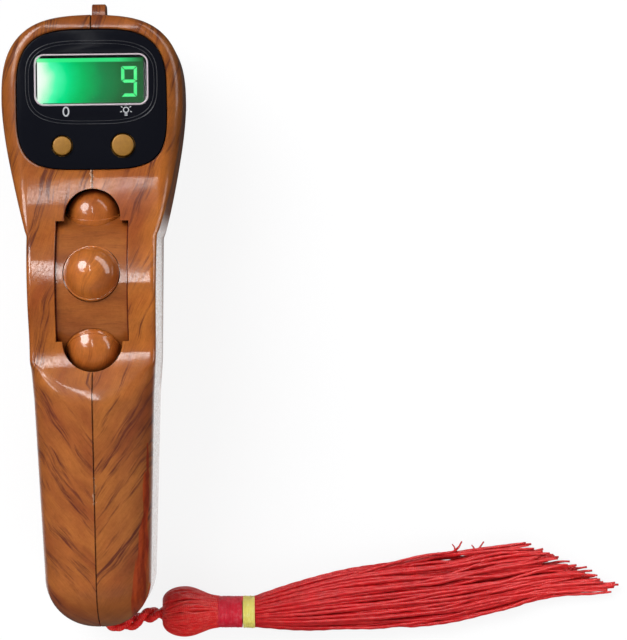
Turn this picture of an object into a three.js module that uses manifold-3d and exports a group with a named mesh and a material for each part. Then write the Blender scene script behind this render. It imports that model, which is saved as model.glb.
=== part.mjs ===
// A hand-held digital tally counter that lies on its back.
// A wood-print plastic handle of two half shells holds a thumb wheel of six beads, and a head with a
// display, two keys and a coin cell. A tassel hangs on a cord from a pin in the bottom end.
// X is to the right, Y runs up the handle to the head and Z comes out of the display. Millimetres.

import * as THREE from 'three';
import { mergeVertices } from 'three/addons/utils/BufferGeometryUtils.js';
import Module from 'manifold-3d';

const wasm = await Module();
wasm.setup();

// Overall sizes and clearances. Places along the handle are heights above its bottom end.
const overallLength = 115;
const wall = 2;
const seatGap = 0.3;
const overrun = 3;
const quarterTurn = Math.PI / 2;
const fullTurn = Math.PI * 2;

// Plan outline of the head. The places in it, and the wheel's, keep their distance from its crown.
const lugHeight = 2.2;
const bodyLength = overallLength - lugHeight;
const headHalfWidth = 16.6;
const crownLength = 15.8;
const headWidestY = bodyLength - crownLength;
const crownPower = 2.8;
const flankLength = 23.8;
const neckY = headWidestY - flankLength;
const neckHalfWidth = 12.2;
const flankPower = 1.6;

// Thumb wheel: the drum, its six beads and the axle that carries them.
const housingRadius = 16;
const drumSink = 1.1;
const drumRadius = housingRadius - drumSink;
const beadCount = 6;
const drumWidth = 13;
const drumRim = 3.2;
const drumWebHalf = 1.2;
const hubRadius = 3.4;
const axleRadius = 1.5;
const axleLength = 19;
const beadRadius = 4.85;
const beadCollarRadius = 5.05;
const beadCollarHeight = 0.3;
const beadSeatDepth = 1.6;
const beadStemRadius = 1.6;
const beadStemLength = 1.2;
const beadSlotGap = 0.55;
const beadSlotRadius = beadRadius + beadSlotGap;
const beadRestAngle = THREE.MathUtils.degToRad(11.4);
const nubInset = 2.4;
const nubCircleRadius = drumRadius - nubInset;
const nubRadius = 0.5;
const nubHeight = 0.4;
const washerRadius = 3;
const washerThickness = 0.5;
const axleBossRadius = 3.4;
const wheelDrop = 10.7;
const wheelBackGap = 0.2;
const wheelAt = { y: neckY - wheelDrop, z: wall + wheelBackGap + beadSlotRadius + drumRadius };

// Half widths of the housing and the handle column.
const notchLength = 0.9;
const housingTopHalfWidth = 11.85;
const housingFootHalfWidth = 11.4;
const housingSink = 0.2;
const columnTopHalfWidth = 10.9;
const columnFootHalfWidth = 9.75;
const endRoundLength = 10;

// Side profile of the body: heights above the surface that the back lies on.
const headFaceZ = 31;
const saddleRadius = 18;
const valleyDrop = 12.7;
const valleyY = wheelAt.y - valleyDrop;
const shelfRun = 7.2;
const columnFootFrontZ = 33.2;
const columnCapHeight = 6.5;
const columnCapPower = 3;
const backCornerWidth = 6;
const backCornerHeight = 5;
const headBackZ = 9;
const headBackLead = 1.2;
const headBackStartY = neckY - headBackLead;
const headBackRun = 15;
const rimRadius = 2.8;
const housingEdgeRadius = 0.9;
const rimFadeLength = 12.8;
const rimFadeY = neckY + rimFadeLength;
const crownRound = 2.6;
const crownFlat = 0.15;
const insetCornerRadius = 1;

// Wheel window in the front.
const windowHalfWidth = 6.85;
const windowRise = 12.1;
const windowDrop = 9.8;
const windowTopY = wheelAt.y + windowRise;
const windowFootY = wheelAt.y - windowDrop;
const drumCutRadius = drumRadius + seatGap;

// Display end: the black fascia, the clear window and what lies behind it.
const fasciaLift = 0.2;
const fasciaY = headWidestY + fasciaLift;
const fasciaRim = 2.7;
const fasciaHalfWidth = headHalfWidth - fasciaRim;
const fasciaHalfHeight = 13;
const fasciaUpperPower = 3.3;
const fasciaLowerPower = 4;
const fasciaThickness = 1.4;
const fasciaSink = 0.2;
const fasciaLedge = 1.5;
const fasciaLedgeThickness = 1.6;
const ledgeOverlap = 1.2;
const fasciaTopZ = headFaceZ - fasciaSink;
const fasciaBackZ = fasciaTopZ - fasciaThickness;
const screenLift = 3.6;
const screenY = fasciaY + screenLift;
const screenMargin = 3.4;
const screenWidth = 2 * (fasciaHalfWidth - screenMargin);
const screenHeight = 9.6;
const screenCorner = 1.8;
const lensFlangeThickness = 0.9;
const lensSink = 0.1;
const panelThickness = 1.6;
const panelMargin = 0.9;
const guideMargin = 0.3;
const guideThickness = 1.5;
const boardGap = 0.6;
const boardThickness = 1;
const boardMargin = 1;
const boardHalfWidth = fasciaHalfWidth - boardMargin;
const boardDrop = 11.8;
const boardRise = 10;
const boardFootY = fasciaY - boardDrop;
const boardTopY = fasciaY + boardRise;
const boardCorner = 4;
const zebraWidth = 1.6;
const zebraMargin = 0.5;
const zebraLength = screenWidth - 2 * zebraMargin;
const ledLength = 1.4;
const ledWidth = 3;
const ledHeight = 1.2;
const chipRadius = 3.6;
const chipHeight = 1.1;
const chipGap = 0.85;

// Keys on the fascia: the small one sets the count to zero, the large one lights the display.
const keyDrop = 8.4;
const keyY = fasciaY - keyDrop;
const keySpacing = 11.15;
const resetKeyRadius = 1.75;
const lightKeyRadius = 2.05;
const keyProud = 0.7;
const keyRunGap = 0.25;
const keyFlangeRadius = 2.6;
const keyFlangeThickness = 0.8;
const keyStemRadius = 1;
const keyEdgeRound = 0.3;
const keyTravel = 0.4;
const switchSide = 4.4;
const switchHeight = 1.5;
const plungerRadius = 0.9;
const plungerLength = 1.1;

// Coin cell in the back of the head, under a cap that turns with a coin.
const coinRadius = 8;
const coinThickness = 3.2;
const cellLift = 0.3;
const cellY = fasciaY + cellLift;
const capRadius = 10.2;
const capDiscThickness = 1.2;
const capBossRadius = 8.1;
const capLedgeThickness = 1.5;
const capLedgeInner = 8.4;
const capLedgeOuter = 12;
const capLugReach = 1.5;
const capLugWidth = 4;
const capLugThickness = 0.8;
const capSlotWidth = 2;
const capSlotLength = 12;
const capSlotDepth = 0.8;
const capTurn = THREE.MathUtils.degToRad(60);
const stripThickness = 0.3;
const stripWidth = 4;
const contactBlockWidth = 2.4;
const contactBlockLength = 4;
const contactBlockHeight = 5;
const leafWidth = 3;
const leafThickness = 0.25;
const leafDrop = 0.5;

// Case screws run from the left shell into the right one. Each place is outside the path of the beads.
const screwShaftRadius = 0.8;
const screwHeadRadius = 1.6;
const screwHeadThickness = 1.2;
const screwBite = 5;
const screwBossRadius = 1.7;
const screwHeadBossRadius = 2.9;
const screwDriveWidth = 0.5;
const crownScrewRise = 1.5;
const crownScrewZ = 19;
const neckScrewDrop = 0.5;
const neckScrewZ = 14.6;
const handleScrewDrop = 12.8;
const handleScrewZ = 19;
const footScrewY = 15;
const footScrewZ = 17;
const screwPlaces = [
  { y: boardTopY + crownScrewRise, z: crownScrewZ },
  { y: boardFootY - neckScrewDrop, z: neckScrewZ },
  { y: valleyY - handleScrewDrop, z: handleScrewZ },
  { y: footScrewY, z: footScrewZ },
];

// Lanyard eye on the top of the right shell.
const lugThickness = 2.5;
const lugDepth = 7;
const lugZ = 20;
const lugHoleRadius = 0.8;
const lugRoot = 2;

// Tassel pin in the bottom end, and the slot that the cord leaves by.
const pinRadius = 1;
const pinHalfLength = 6;
const pinAt = { y: 7.2, z: 5.6 };
const slotHalfWidth = 1.7;
const slotHalfHeight = 3;
const pinBlockHalfLength = 2.4;

// Tassel: a soft head, a wound neck in two colours and a skirt of loose strands, on the surface.
const cordRadius = 0.65;
const cordTwistOffset = 0.83;
const cordTwists = 1.6;
const tasselHeadRadius = 4.65;
const tasselHeadLength = 9.3;
const neckRadius = 3;
const neckLength = 5.3;
const goldRadius = 3.1;
const goldLength = 2.9;
const tasselLine = { x: 11, y: 1.1, z: 4.7 };
const tasselTurn = THREE.MathUtils.degToRad(-1);
const skirtLength = 58;
const skirtRibs = 11;
const skirtRibDepth = 0.35;
const floorClearance = 0.05;

// Colours and finishes.
const woodPrint = { color: 0xa8642f, roughness: 0.25, metalness: 0 };
const blackGloss = { color: 0x14161c, roughness: 0.3, metalness: 0 };
const clearPlastic = { color: 0xe8f2ee, roughness: 0.05, metalness: 0 };
const litGreen = { color: 0x2fd06a, roughness: 0.4, metalness: 0 };
const milkyPlastic = { color: 0xe6e9df, roughness: 0.4, metalness: 0 };
const boardGreen = { color: 0x1f5a35, roughness: 0.5, metalness: 0 };
const goldKey = { color: 0xb5893f, roughness: 0.35, metalness: 0.6 };
const steel = { color: 0xb9bbbd, roughness: 0.3, metalness: 1 };
const bronze = { color: 0xb98a4a, roughness: 0.35, metalness: 1 };
const blackRubber = { color: 0x222224, roughness: 0.8, metalness: 0 };
const redThread = { color: 0xc71f2d, roughness: 0.7, metalness: 0 };
const crimsonThread = { color: 0xa3122f, roughness: 0.7, metalness: 0 };
const yellowThread = { color: 0xe3cb45, roughness: 0.6, metalness: 0 };

const counter = new THREE.Group();
counter.position.y = -overallLength / 2;

function addPiece(name, solid, finish) {
  const mesh = new THREE.Mesh(toGeometry(solid), new THREE.MeshStandardMaterial(finish));
  mesh.name = name;
  counter.add(mesh);
  return mesh;
}

// Solids from three.js geometry, and back.
function signedVolume(positions, index) {
  let volume = 0;
  const corner = [new THREE.Vector3(), new THREE.Vector3(), new THREE.Vector3()];
  for (let i = 0; i < index.length; i += 3) {
    corner.forEach((point, k) => point.fromArray(positions, index[i + k] * 3));
    volume += corner[0].dot(corner[1].cross(corner[2])) / 6;
  }
  return volume;
}

function toSolid(geometry) {
  const bare = new THREE.BufferGeometry();
  bare.setAttribute('position', geometry.getAttribute('position').clone());
  bare.setIndex(geometry.getIndex());
  const merged = mergeVertices(bare);
  const vertProperties = new Float32Array(merged.getAttribute('position').array);
  const triVerts = new Uint32Array(merged.getIndex().array);
  if (signedVolume(vertProperties, triVerts) < 0) {
    for (let i = 0; i < triVerts.length; i += 3) {
      [triVerts[i + 1], triVerts[i + 2]] = [triVerts[i + 2], triVerts[i + 1]];
    }
  }
  return new wasm.Manifold(new wasm.Mesh({ numProp: 3, vertProperties, triVerts }));
}

function toGeometry(solid) {
  const mesh = solid.getMesh();
  const positions = new Float32Array(mesh.numVert * 3);
  for (let i = 0; i < mesh.numVert; i += 1) {
    for (let k = 0; k < 3; k += 1) {
      positions[i * 3 + k] = mesh.vertProperties[i * mesh.numProp + k];
    }
  }
  const geometry = new THREE.BufferGeometry();
  geometry.setAttribute('position', new THREE.BufferAttribute(positions, 3));
  geometry.setIndex(new THREE.BufferAttribute(new Uint32Array(mesh.triVerts), 1));
  geometry.computeVertexNormals();
  return geometry;
}

function unite(solids) {
  return solids.reduce((sum, solid) => sum.add(solid));
}

// A block from its lowest to its highest corner.
function block(low, high) {
  const size = high.map((value, k) => value - low[k]);
  const geometry = new THREE.BoxGeometry(...size);
  geometry.translate(...low.map((value, k) => value + size[k] / 2));
  return toSolid(geometry);
}

// A round bar along X from one place to another.
function barX(radius, fromX, toX, at, sides) {
  const geometry = new THREE.CylinderGeometry(radius, radius, toX - fromX, sides);
  geometry.rotateZ(quarterTurn);
  geometry.translate((fromX + toX) / 2, at.y, at.z);
  return toSolid(geometry);
}

// A turned piece about a line along Z, from pairs of radius and height.
function turned(profile, x, y, sides) {
  const points = profile.map(([radius, z]) => new THREE.Vector2(radius, z));
  const geometry = new THREE.LatheGeometry(points, sides);
  geometry.rotateX(quarterTurn);
  geometry.translate(x, y, 0);
  return toSolid(geometry);
}

// A plate of a plan outline, from one height to another.
function plate(shape, fromZ, toZ) {
  const geometry = new THREE.ExtrudeGeometry(shape, { depth: toZ - fromZ, bevelEnabled: false });
  geometry.translate(0, 0, fromZ);
  return toSolid(geometry);
}

const cornerSteps = 4;
function roundedRectangle(halfWidth, fromY, toY, corner) {
  const shape = new THREE.Shape();
  const inner = halfWidth - corner;
  shape.moveTo(inner, fromY);
  shape.absarc(inner, fromY + corner, corner, -quarterTurn, 0);
  shape.absarc(inner, toY - corner, corner, 0, quarterTurn);
  shape.absarc(-inner, toY - corner, corner, quarterTurn, Math.PI);
  shape.absarc(-inner, fromY + corner, corner, Math.PI, Math.PI + quarterTurn);
  const points = shape.extractPoints(cornerSteps).shape;
  return new THREE.Shape(points);
}

// A bent strip: an outline in the YZ plane, as wide along X as asked.
function bentStrip(points, thickness, fromX, toX) {
  const side = [];
  const back = [];
  points.forEach(([y, z], i) => {
    const before = points[Math.max(i - 1, 0)];
    const after = points[Math.min(i + 1, points.length - 1)];
    const along = new THREE.Vector2(after[0] - before[0], after[1] - before[1]).normalize();
    side.push(new THREE.Vector2(y - along.y * thickness / 2, z + along.x * thickness / 2));
    back.unshift(new THREE.Vector2(y + along.y * thickness / 2, z - along.x * thickness / 2));
  });
  return sideExtrusion([...side, ...back], fromX, toX);
}

// An outline of places and heights in the YZ plane, extruded along X.
function sideExtrusion(points, fromX, toX) {
  const shape = new THREE.Shape(points);
  const geometry = new THREE.ExtrudeGeometry(shape, { depth: toX - fromX, bevelEnabled: false });
  geometry.rotateY(quarterTurn);
  geometry.rotateX(quarterTurn);
  geometry.translate(fromX, 0, 0);
  return toSolid(geometry);
}

// Rings of points, one after another, joined into a closed skin with a fan over each end.
function loftGeometry(rings) {
  const count = rings[0].length;
  const positions = rings.flat(2);
  const index = [];
  for (let r = 0; r + 1 < rings.length; r += 1) {
    for (let i = 0; i < count; i += 1) {
      const next = (i + 1) % count;
      const a = r * count + i;
      const b = r * count + next;
      index.push(a, b, b + count, a, b + count, a + count);
    }
  }
  [0, rings.length - 1].forEach((r) => {
    const middle = [0, 1, 2].map((k) => rings[r].reduce((sum, point) => sum + point[k], 0) / count);
    const hub = positions.length / 3;
    positions.push(...middle);
    for (let i = 0; i < count; i += 1) {
      const a = r * count + i;
      const b = r * count + ((i + 1) % count);
      if (r === 0) index.push(hub, b, a);
      else index.push(hub, a, b);
    }
  });
  const geometry = new THREE.BufferGeometry();
  geometry.setAttribute('position', new THREE.Float32BufferAttribute(positions, 3));
  geometry.setIndex(index);
  return geometry;
}

function loft(rings) {
  return toSolid(loftGeometry(rings));
}

// Body outline and profile.
function headWidthAt(y, inset) {
  const half = headHalfWidth - inset;
  if (y > headWidestY) {
    const share = Math.min((y - headWidestY) / (bodyLength - inset - headWidestY), 1);
    return half * (1 - share ** crownPower) ** (1 / crownPower);
  }
  const share = (y - neckY) / (headWidestY - neckY);
  return neckHalfWidth - inset + (headHalfWidth - neckHalfWidth) * (1 - (1 - share) ** flankPower);
}

function upperHalfWidth(y, inset) {
  if (y >= neckY) return headWidthAt(y, inset);
  if (y < valleyY) {
    const sunk = columnTopHalfWidth - housingSink;
    const crestY = valleyY - shelfRun;
    return THREE.MathUtils.mapLinear(y, valleyY, crestY, housingFootHalfWidth, sunk) - inset;
  }
  const share = Math.min((neckY - y) / notchLength, 1);
  const housing = THREE.MathUtils.mapLinear(y, neckY, valleyY, housingTopHalfWidth, housingFootHalfWidth);
  return THREE.MathUtils.lerp(neckHalfWidth, housing, share) - inset;
}

function columnHalfWidth(y, inset) {
  const crestY = valleyY - shelfRun;
  const half = THREE.MathUtils.mapLinear(y, crestY, endRoundLength, columnTopHalfWidth, columnFootHalfWidth);
  return half - inset;
}

function backHeight(y) {
  const share = THREE.MathUtils.clamp((y - headBackStartY) / headBackRun, 0, 1);
  return headBackZ * THREE.MathUtils.smoothstep(share, 0, 1);
}

// The housing's front is round about the wheel. A saddle of its own radius joins it to the head's face.
const saddleZ = headFaceZ + saddleRadius - wheelAt.z;
const saddleReach = Math.sqrt((housingRadius + saddleRadius) ** 2 - saddleZ ** 2);
const saddleY = wheelAt.y + saddleReach;
const saddleStartY = wheelAt.y + saddleReach * housingRadius / (housingRadius + saddleRadius);

function arcHeight(radius, offset) {
  return Math.sqrt(Math.max(radius ** 2 - offset ** 2, 0));
}

function upperFrontHeight(y, inset) {
  if (y > saddleY) return headFaceZ - inset;
  if (y > saddleStartY) return headFaceZ + saddleRadius - arcHeight(saddleRadius + inset, saddleY - y);
  return wheelAt.z + arcHeight(housingRadius - inset, y - wheelAt.y);
}

const valleyZ = upperFrontHeight(valleyY, 0);
const crestZ = valleyZ + shelfRun;

function columnFrontHeight(y) {
  return THREE.MathUtils.mapLinear(y, valleyY - shelfRun, endRoundLength, crestZ, columnFootFrontZ);
}

function edgeRadius(y) {
  const share = THREE.MathUtils.smoothstep(y, neckY - notchLength, rimFadeY);
  return THREE.MathUtils.lerp(housingEdgeRadius, rimRadius, share);
}

// One ring of the body: four corners, each a quarter of a rounded curve, in the order they are passed.
const cornerPoints = 6;
function bodyRing(y, halfWidth, backZ, frontZ, front, back) {
  const ring = [];
  const corners = [
    { side: 1, edge: frontZ, way: 1, ...front },
    { side: -1, edge: frontZ, way: 1, ...front },
    { side: -1, edge: backZ, way: -1, ...back },
    { side: 1, edge: backZ, way: -1, ...back },
  ];
  corners.forEach(({ side, edge, way, width, height, power }) => {
    const run = Math.min(width, halfWidth);
    for (let i = 0; i < cornerPoints; i += 1) {
      const share = i / (cornerPoints - 1);
      const angle = quarterTurn * (side === way ? share : 1 - share);
      const x = side * (halfWidth - run + run * Math.abs(Math.cos(angle)) ** (2 / power));
      const z = edge - way * height * (1 - Math.abs(Math.sin(angle)) ** (2 / power));
      ring.push([x, y, z]);
    }
  });
  return ring;
}

function softened(size, inset) {
  return Math.max(size - inset, insetCornerRadius);
}

// Housing and head in one skin. The crown is rounded over to the front and the back.
const upperShares = [0, 0.03, 0.09, 0.17, 0.26, 0.35, 0.43];
const crownShares = [0.2, 0.45, 0.7, 0.85, 0.94, 0.985];
function upperSkin(inset) {
  const startY = valleyY - shelfRun - inset;
  const rows = upperShares.map((share) => startY + share * (bodyLength - startY));
  rows.push(neckY - notchLength, neckY);
  const flankSteps = 5;
  for (let i = 1; i <= flankSteps; i += 1) {
    rows.push(neckY + (headWidestY - neckY) * i / flankSteps);
  }
  const endY = bodyLength - inset;
  crownShares.forEach((share) => rows.push(headWidestY + (endY - headWidestY) * share));
  rows.push(endY - crownFlat);
  const rings = rows.sort((a, b) => a - b).map((y) => {
    const reach = Math.max(crownRound - (endY - y), 0);
    const dip = crownRound - arcHeight(crownRound, reach);
    const edge = Math.min(softened(edgeRadius(y), inset), upperHalfWidth(y, inset));
    const backShare = THREE.MathUtils.smoothstep(y, headBackStartY, headBackStartY + headBackRun);
    const backEdge = {
      width: THREE.MathUtils.lerp(backCornerWidth, rimRadius, backShare),
      height: softened(THREE.MathUtils.lerp(backCornerHeight, rimRadius, backShare), inset),
      power: 2,
    };
    const front = { width: edge, height: edge, power: 2 };
    const low = backHeight(y) + inset + dip;
    return bodyRing(y, upperHalfWidth(y, inset), low, upperFrontHeight(y, inset) - dip, front, backEdge);
  });
  return loft(rings);
}

// The handle column, with a bottom end that is round in both views.
const columnShares = [0, 0.04, 0.12, 0.27, 0.5, 0.75, 1];
const endTipShare = 0.006;
function columnSkin(inset) {
  const reach = endRoundLength - inset;
  const topY = valleyY + inset;
  const middleZ = columnFootFrontZ / 2;
  const rings = columnShares.map((share) => {
    const y = inset + reach * share;
    const grow = arcHeight(1, 1 - Math.max(share, endTipShare));
    const half = columnHalfWidth(endRoundLength, inset) * grow;
    const depth = (middleZ - inset) * grow;
    const front = { width: half, height: softened(columnCapHeight, inset) * grow, power: columnCapPower };
    const backRise = softened(backCornerHeight, inset) * grow;
    const back = { width: backCornerWidth * grow, height: backRise, power: 2 };
    return bodyRing(y, half, middleZ - depth, middleZ + depth, front, back);
  });
  const straightSteps = 3;
  for (let i = 1; i <= straightSteps; i += 1) {
    const y = endRoundLength + (topY - endRoundLength) * i / straightSteps;
    const half = columnHalfWidth(y, inset);
    const front = { width: half, height: softened(columnCapHeight, inset), power: columnCapPower };
    const back = { width: backCornerWidth, height: softened(backCornerHeight, inset), power: 2 };
    rings.push(bodyRing(y, half, inset, columnFrontHeight(y) - inset, front, back));
  }
  return loft(rings);
}

// The shelf under the wheel: a slope of one in one that starts at the foot of the housing.
function shelfWedge(inset) {
  const drop = inset * Math.SQRT2;
  const height = overallLength / 2;
  return sideExtrusion([
    new THREE.Vector2(valleyY - drop - height, valleyZ + height),
    new THREE.Vector2(valleyY - drop + height, valleyZ - height),
    new THREE.Vector2(valleyY + height, valleyZ + height),
  ], -headHalfWidth, headHalfWidth);
}

function bodySolid(inset) {
  return upperSkin(inset).add(columnSkin(inset).subtract(shelfWedge(inset)));
}

// Fascia outline: a soft square, squarer at its foot.
const fasciaPoints = 40;
function fasciaShape(margin) {
  const points = [];
  for (let i = 0; i < fasciaPoints; i += 1) {
    const angle = fullTurn * i / fasciaPoints;
    const power = Math.sin(angle) >= 0 ? fasciaUpperPower : fasciaLowerPower;
    const across = Math.sign(Math.cos(angle)) * Math.abs(Math.cos(angle)) ** (2 / power);
    const along = Math.sign(Math.sin(angle)) * Math.abs(Math.sin(angle)) ** (2 / power);
    const x = across * (fasciaHalfWidth + margin);
    points.push(new THREE.Vector2(x, fasciaY + along * (fasciaHalfHeight + margin)));
  }
  return new THREE.Shape(points);
}

// The screen's outline, with a margin round it.
function screenShape(margin) {
  const half = screenHeight / 2 + margin;
  return roundedRectangle(screenWidth / 2 + margin, screenY - half, screenY + half, screenCorner);
}

const boardTopZ = fasciaBackZ - seatGap - lensFlangeThickness - seatGap - panelThickness - seatGap
  - guideThickness - boardGap;
const boardBackZ = boardTopZ - boardThickness;
const cellBackZ = headBackZ + capDiscThickness + seatGap + capLedgeThickness + seatGap
  + capLugThickness + seatGap;
const cellTopZ = cellBackZ + coinThickness;
const capAt = { x: 0, y: cellY };

// What both shells share, made whole and then parted at the middle.
function ledgeUnderFascia(outer) {
  const ledgeTopZ = fasciaBackZ - seatGap;
  const rim = plate(fasciaShape(ledgeOverlap), ledgeTopZ - fasciaLedgeThickness, ledgeTopZ);
  return rim.intersect(outer);
}

function boardLedges() {
  const length = (boardTopY - boardFootY) / 4;
  const top = boardBackZ - seatGap;
  const sides = [-1, 1].map((side) => {
    const near = side * (boardHalfWidth - wall);
    const far = side * headHalfWidth;
    const low = [Math.min(near, far), cellY - length, top - wall / 2];
    return block(low, [Math.max(near, far), cellY + length, top]);
  });
  return unite(sides);
}

const capLedgeTopZ = headBackZ + capDiscThickness + seatGap + capLedgeThickness;
function cellRing() {
  return plate(circleShape(capLedgeOuter, capAt.x, capAt.y), headBackZ, capLedgeTopZ);
}

const circleSteps = 36;
function circleShape(radius, x, y) {
  const shape = new THREE.Shape();
  shape.absarc(x, y, radius, 0, fullTurn);
  return new THREE.Shape(shape.extractPoints(circleSteps / 2).shape);
}

function cellCut() {
  const recess = plate(circleShape(capRadius + seatGap, capAt.x, capAt.y), headBackZ - overrun,
    headBackZ + capDiscThickness + seatGap);
  const hole = plate(circleShape(capLedgeInner, capAt.x, capAt.y), headBackZ - overrun,
    capLedgeTopZ + overrun);
  const notchGeometry = new THREE.BoxGeometry(2 * (capBossRadius + capLugReach + seatGap),
    capLugWidth + 2 * seatGap, capLedgeThickness + overrun);
  notchGeometry.rotateZ(capTurn);
  notchGeometry.translate(capAt.x, capAt.y, capLedgeTopZ);
  return unite([recess, hole, toSolid(notchGeometry)]);
}

function wheelCut() {
  const halfWindow = windowHalfWidth;
  const window = block([-halfWindow, windowFootY, wheelAt.z], [halfWindow, windowTopY, overallLength]);
  const drum = barX(drumCutRadius, -halfWindow, halfWindow, wheelAt, 48);
  const torus = new THREE.TorusGeometry(drumRadius, beadSlotRadius, 18, 40);
  torus.rotateY(quarterTurn);
  torus.translate(0, wheelAt.y, wheelAt.z);
  return unite([window, drum, toSolid(torus)]);
}

function axleBosses() {
  const inner = drumWidth / 2 + 2 * seatGap + washerThickness;
  return [-1, 1].map((side) => {
    const ends = [side * inner, side * housingTopHalfWidth].sort((a, b) => a - b);
    return barX(axleBossRadius, ends[0], ends[1], wheelAt, 20);
  });
}

function screwBosses() {
  return screwPlaces.flatMap((at) => {
    const side = shellHalfWidth(at.y);
    const seatX = -side + screwHeadThickness + wall;
    return [
      barX(screwBossRadius, -side, side, at, 14),
      barX(screwHeadBossRadius, -side, seatX + wall / 2, at, 16),
    ];
  });
}

function shellHalfWidth(y) {
  return y > valleyY ? upperHalfWidth(y, 0) : columnHalfWidth(y, 0);
}

function screwCuts() {
  return screwPlaces.flatMap((at) => {
    const side = shellHalfWidth(at.y);
    const seatX = -side + screwHeadThickness + wall;
    return [
      barX(screwShaftRadius + seatGap, seatX - wall, screwBite + seatGap, at, 12),
      barX(screwHeadRadius + seatGap, -side - overrun, seatX - wall / 2, at, 16),
    ];
  });
}

function pinBlocks() {
  const reach = pinHalfLength + seatGap + wall / 2;
  const low = [-reach, pinAt.y - pinBlockHalfLength, 0];
  const high = [reach, pinAt.y + pinBlockHalfLength, pinAt.z + slotHalfHeight];
  return block(low, high);
}

function pinCuts() {
  const reach = pinHalfLength + seatGap;
  const slotTop = pinAt.z + slotHalfHeight + seatGap;
  return [
    barX(pinRadius + seatGap, -reach, reach, pinAt, 12),
    block([-slotHalfWidth, -overrun, pinAt.z - slotHalfHeight],
      [slotHalfWidth, pinAt.y + pinBlockHalfLength + overrun, slotTop]),
  ];
}

function lanyardLug() {
  const foot = bodyLength - lugRoot;
  const shape = new THREE.Shape();
  const half = lugDepth / 2;
  const round = lugHeight - lugHoleRadius / 2;
  shape.moveTo(foot, lugZ - half);
  shape.lineTo(overallLength - round, lugZ - half);
  shape.absarc(overallLength - round, lugZ - half + round, round, -quarterTurn, 0);
  shape.absarc(overallLength - round, lugZ + half - round, round, 0, quarterTurn);
  shape.lineTo(foot, lugZ + half);
  const lug = sideExtrusion(shape.extractPoints(cornerSteps).shape, 0, lugThickness);
  const eyeAt = { y: overallLength - lugHeight + lugHoleRadius / 2, z: lugZ };
  return lug.subtract(barX(lugHoleRadius, -overrun, lugThickness + overrun, eyeAt, 12));
}

function wholeCase() {
  const outer = bodySolid(0);
  const added = unite([...axleBosses(), ...screwBosses(), pinBlocks(), boardLedges(), cellRing()]);
  const shell = unite([outer.subtract(bodySolid(wall)), added.intersect(outer), ledgeUnderFascia(outer)]);
  const ledgeTopZ = fasciaBackZ - seatGap;
  const cuts = unite([
    plate(fasciaShape(seatGap), ledgeTopZ, headFaceZ + overrun),
    plate(fasciaShape(-fasciaLedge), ledgeTopZ - fasciaLedgeThickness - overrun, headFaceZ + overrun),
    plate(screenShape(panelMargin + seatGap), ledgeTopZ - fasciaLedgeThickness - overrun,
      ledgeTopZ + overrun),
    cellCut(),
    wheelCut(),
    ...screwCuts(),
    ...pinCuts(),
    barX(axleRadius + seatGap, -axleLength / 2 - seatGap, axleLength / 2 + seatGap, wheelAt, 16),
  ]);
  return shell.subtract(cuts);
}

function sideHalf(solid, side) {
  const near = side > 0 ? 0 : -overallLength;
  const far = side > 0 ? overallLength : 0;
  const low = [near, -overallLength, -overallLength];
  return solid.intersect(block(low, [far, 2 * overallLength, overallLength]));
}

const caseSolid = wholeCase();
addPiece('left_shell', sideHalf(caseSolid, -1), woodPrint);
addPiece('right_shell', sideHalf(caseSolid, 1).add(lanyardLug()), woodPrint);

// Thumb wheel. Bead places are angles about the axle, from straight up towards the head.
function turnedX(profile, sides) {
  const points = profile.map(([radius, x]) => new THREE.Vector2(radius, x));
  const geometry = new THREE.LatheGeometry(points, sides);
  geometry.rotateZ(-quarterTurn);
  return geometry;
}

function aboutAxle(geometry, angle) {
  geometry.rotateX(-angle);
  geometry.translate(0, wheelAt.y, wheelAt.z);
  return toSolid(geometry);
}

const beadAngles = [];
for (let i = 0; i < beadCount; i += 1) {
  beadAngles.push(beadRestAngle + fullTurn * i / beadCount);
}
const beadFloor = drumRadius - beadSeatDepth;

function beadWheel() {
  const half = drumWidth / 2;
  const inner = drumRadius - drumRim;
  const bore = axleRadius + seatGap;
  const drum = aboutAxle(turnedX([
    [drumRadius, -half], [drumRadius, half], [inner, half], [inner, drumWebHalf],
    [hubRadius, drumWebHalf], [hubRadius, half], [bore, half], [bore, -half],
    [hubRadius, -half], [hubRadius, -drumWebHalf], [inner, -drumWebHalf], [inner, -half],
    [drumRadius, -half],
  ], 36), 0);
  const seats = beadAngles.map((angle) => {
    const radius = beadCollarRadius + seatGap;
    const seat = new THREE.CylinderGeometry(radius, radius, overrun, 16);
    seat.rotateX(quarterTurn);
    seat.translate(0, 0, beadFloor + overrun / 2);
    return aboutAxle(seat, angle);
  });
  const stemHoles = beadAngles.map((angle) => {
    const radius = beadStemRadius + seatGap;
    const hole = new THREE.CylinderGeometry(radius, radius, 2 * drumRim, 8);
    hole.rotateX(quarterTurn);
    hole.translate(0, 0, beadFloor);
    return aboutAxle(hole, angle);
  });
  const nubs = beadAngles.map((angle) => {
    const nub = new THREE.CylinderGeometry(nubRadius, nubRadius, 2 * nubHeight, 8);
    nub.rotateZ(quarterTurn);
    nub.translate(half, 0, nubCircleRadius);
    return aboutAxle(nub, angle + fullTurn / beadCount / 2);
  });
  return drum.subtract(unite([...seats, ...stemHoles])).add(unite(nubs));
}
addPiece('bead_wheel', beadWheel(), woodPrint);

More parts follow.
